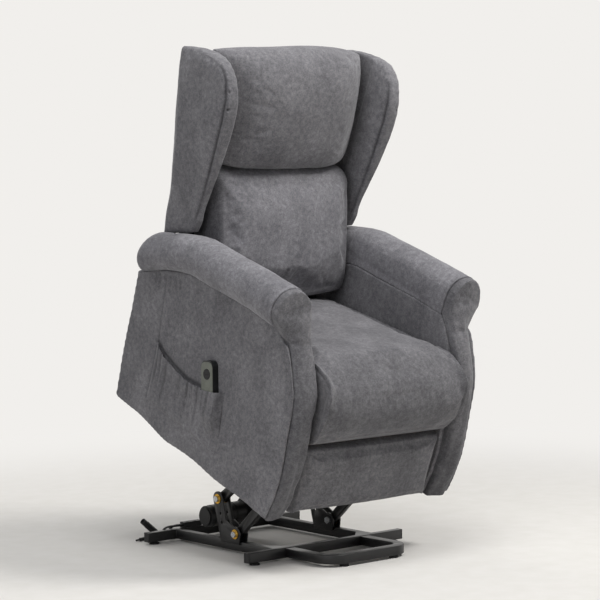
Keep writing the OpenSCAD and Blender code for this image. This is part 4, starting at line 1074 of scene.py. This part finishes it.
held_edge = smooth_step(np.minimum(s, 1 - s), 0, 0.05) * smooth_step(1 - t, 0, 0.08)
folds = (np.sin(s * 74 + 3 * np.sin(s * 9) + t * 2.2) * 0.6 + np.sin(s * 41 + 1.3 + t * 3) * 0.5)
gathered = folds * 3.6 * (1 - smooth_step(t, 0.3, 1.0)) * (1 - 0.5 * smooth_step(t, 0.0, 0.02))
open_mouth = 6.5 * (1 - smooth_step(t, 0, 0.4))
stand = sewn_out + held_edge * (1.8 + open_mouth + gathered)
room = handset_room(v, w) * smooth_step(1 - s, 0, 0.014)
stand = np.maximum(stand, sewn_out) * (1 - room) + room * (handset_out + gathered * 0.15)
print("the pocket stands out by up to", round(float(stand.max()), 1), "mm")

# %% The pocket's cloth
cloth_thickness = 0.0016
grid = np.stack([-(side_u + stand), v, w], -1).reshape(-1, 3)
faces = [(a, a + 1, a + patch_cols + 1, a + patch_cols) for r in range(patch_rows - 1)
         for a in range(r * patch_cols, r * patch_cols + patch_cols - 1)]
mesh = bpy.data.meshes.new("side_pocket_cloth")
mesh.from_pydata(from_chair(grid).tolist(), [], faces)
pocket = bpy.data.objects.new("side_pocket_cloth", mesh)
scene.collection.objects.link(pocket)
pick(pocket)
edit(lambda: bpy.ops.mesh.normals_make_consistent(inside=False))
faces_inward = normals_of(pocket).mean(0)[0] >= 0
if faces_inward:
    edit(bpy.ops.mesh.flip_normals)
apply_modifier(pocket, "Solidify", "SOLIDIFY", thickness=cloth_thickness, offset=-1)
pick(pocket)
bpy.ops.object.shade_smooth()
# Painted shade in the pocket's folds, most near its mouth.
deep = np.clip(-folds, 0, 1).reshape(-1)
shade(pocket, np.tile(deep * 0.5 * (1 - t.reshape(-1)) ** 0.7, 2)[:len(pocket.data.vertices)])
dress(pocket, cover, "chair", "upholstery", "side_pocket")

# %% [markdown]
# ## Back shell and rear skirt
# Behind, the back is closed by a stretched panel and a flap below it, both with plain topstitched
# seams. The skirt is a short stiffened flap between the arms. Both are nearly flat, so a slight
# smooth unevenness is enough and no cloth is simulated.

# %% Back shell and skirt
shell = copy_of("back_shell", "back_shell_cover")
remesh(shell, 6)
soften(shell)


def shell_shape(p, n):
    """Only the side that faces back is full and uneven."""
    u, v, w = p.T
    full = smooth_step(235 - np.abs(u), 0, 110) * smooth_step(w - 180, 0, 90) * smooth_step(1000 - w, 0, 90)
    soft = rumple(p, 100, 81) * 1.2 + rumple(p, 30, 83) * 0.4
    behind = smooth_step(n[:, 1], 0.2, 0.7)
    return p + n * ((3.5 * full + soft) * behind)[:, None]


reshape(shell, shell_shape)
# The seams, pressed in with painted shade.
for side in (-1, 1):
    press(shell, [(side * 150, 674, 190), (side * 150, 674, 500)], 3.5, 2.0, 0.35, ends=False)
    press(shell, [(side * 160, 680, 520), (side * 162, 716, 750), (side * 165, 757, 985),
                  (side * 165, 735, 1022)], 3.5, 2.0, 0.35, ends=False)
press(shell, [(u, 675, 508) for u in (-236, -120, 0, 120, 236)], 5, 3.2, 0.5, ends=False)
dress(shell, cover, "back", "upholstery", "back_shell")

skirt = copy_of("rear_skirt", "rear_skirt_cover")
remesh(skirt, 4)
soften(skirt)
reshape(skirt, lambda p, n: p + n * ((rumple(p, 60, 91) * 0.9 + rumple(p, 22, 93) * 0.3)
        * smooth_step(235 - np.abs(p[:, 0]), 0, 12))[:, None])
# The hem seam, pressed in with painted shade.
press(skirt, [(u, 684, 26) for u in (-238, -120, 0, 120, 238)], 2.5, 1.4, 0.35, ends=False)
kept_in(skirt, u=(-239.7, 239.7))
dress(skirt, cover, "chair", "upholstery", "rear_skirt")
print("back done")

# %% [markdown]
# ## Steel with broken edges
# Sawn, bent and welded steel has its sharp edges broken, and the coat runs round them, so a thin
# line of light shows there. Each such piece is made again from its solid, whose flat faces are
# joined first, and a small bevel on its corners is enough.

# %% Eased steel
edge_mm = 1.2
bevel_from = radians(35)


def eased(node, body):
    """A steel piece made again with its sharp edges broken."""
    piece = copy_of(node, node + "_steel")
    edit(lambda: bpy.ops.mesh.dissolve_limited(angle_limit=radians(1)))
    apply_modifier(piece, "Bevel", "BEVEL", width=edge_mm / 1000, segments=2, limit_method="ANGLE",
                   angle_limit=bevel_from)
    pick(piece)
    bpy.ops.object.shade_smooth_by_angle(angle=radians(40))
    dress(piece, black_coat, body, "black_steel", node)


eased_steel = {
    "base_frame": "base", "front_loop": "base", "pivot_bracket_left": "base", "pivot_bracket_right": "base",
    "lower_arm_left": "lower_arms", "lower_arm_right": "lower_arms", "upper_arm_left": "upper_arm_left",
    "upper_arm_right": "upper_arm_right", "lift_bracket_left": "chair", "lift_bracket_right": "chair",
}
for node, body in eased_steel.items():
    eased(node, body)
print("eased", len(eased_steel), "steel pieces")

# %% [markdown]
# ## Steel, plastic and wood
# The solids of the other hard pieces have the right shape and their edges are small or hidden, so
# they stay and only get their finish.

# %% Finishes on the hard pieces
finishes = {
    "motor_clevis": black_coat, "lower_arm_tube": black_coat, "actuator_crossbar": black_coat,
    "back_hinges": link_coat, "mech_plate_left": link_coat, "mech_plate_right": link_coat,
    "mech_tubes": link_coat, "back_frame": link_coat, "footrest_links_a": link_coat,
    "footrest_links_b": link_coat, "footrest_links_c": link_coat, "footrest_links_d": link_coat,
    "tube_caps": cap_plastic, "base_feet": rubber, "pivot_bolts": zinc, "chair_pins": zinc,
    "pivot_bushings": brass, "gearbox": housing, "drive_motor": housing, "motor_end_cap": housing,
    "actuator_tube": housing, "actuator_rod": rod_steel, "inline_connector": plug_plastic,
    "lead_connector": plug_plastic, "small_plug": plug_plastic, "seat_box": pine, "seat_springs": wire,
    "footrest_board": pine, "handset_body": remote_shell, "handset_face": remote_face,
    "button_up": key_rubber, "button_down": key_rubber,
}
for node, finish in finishes.items():
    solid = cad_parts[node]
    solid.data.materials.clear()
    solid.data.materials.append(finish)
print("finished", len(finishes), "hard pieces")

# %% [markdown]
# ## Leads on their bodies
# The first lead bends between the swinging gearbox and the base; the other two lie on the base.
# It becomes a mesh first, because only a mesh can turn smoothly from one body to the other.

on_crossbar = 18
for lead in (gear_lead, long_lead, short_lead):
    lead.data.materials.append(lead_skin)
pick(gear_lead)
bpy.ops.object.convert(target="MESH")
gear_lead = bpy.context.object
bpy.ops.object.shade_smooth()
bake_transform(gear_lead, "actuator", "base", start=tuple(gear_line[0]), end=tuple(gear_line[on_crossbar]))
for lead in (long_lead, short_lead):
    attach(lead, "base")
for lead in (gear_lead, long_lead, short_lead):
    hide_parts("motor_lead")
print("leads declared")
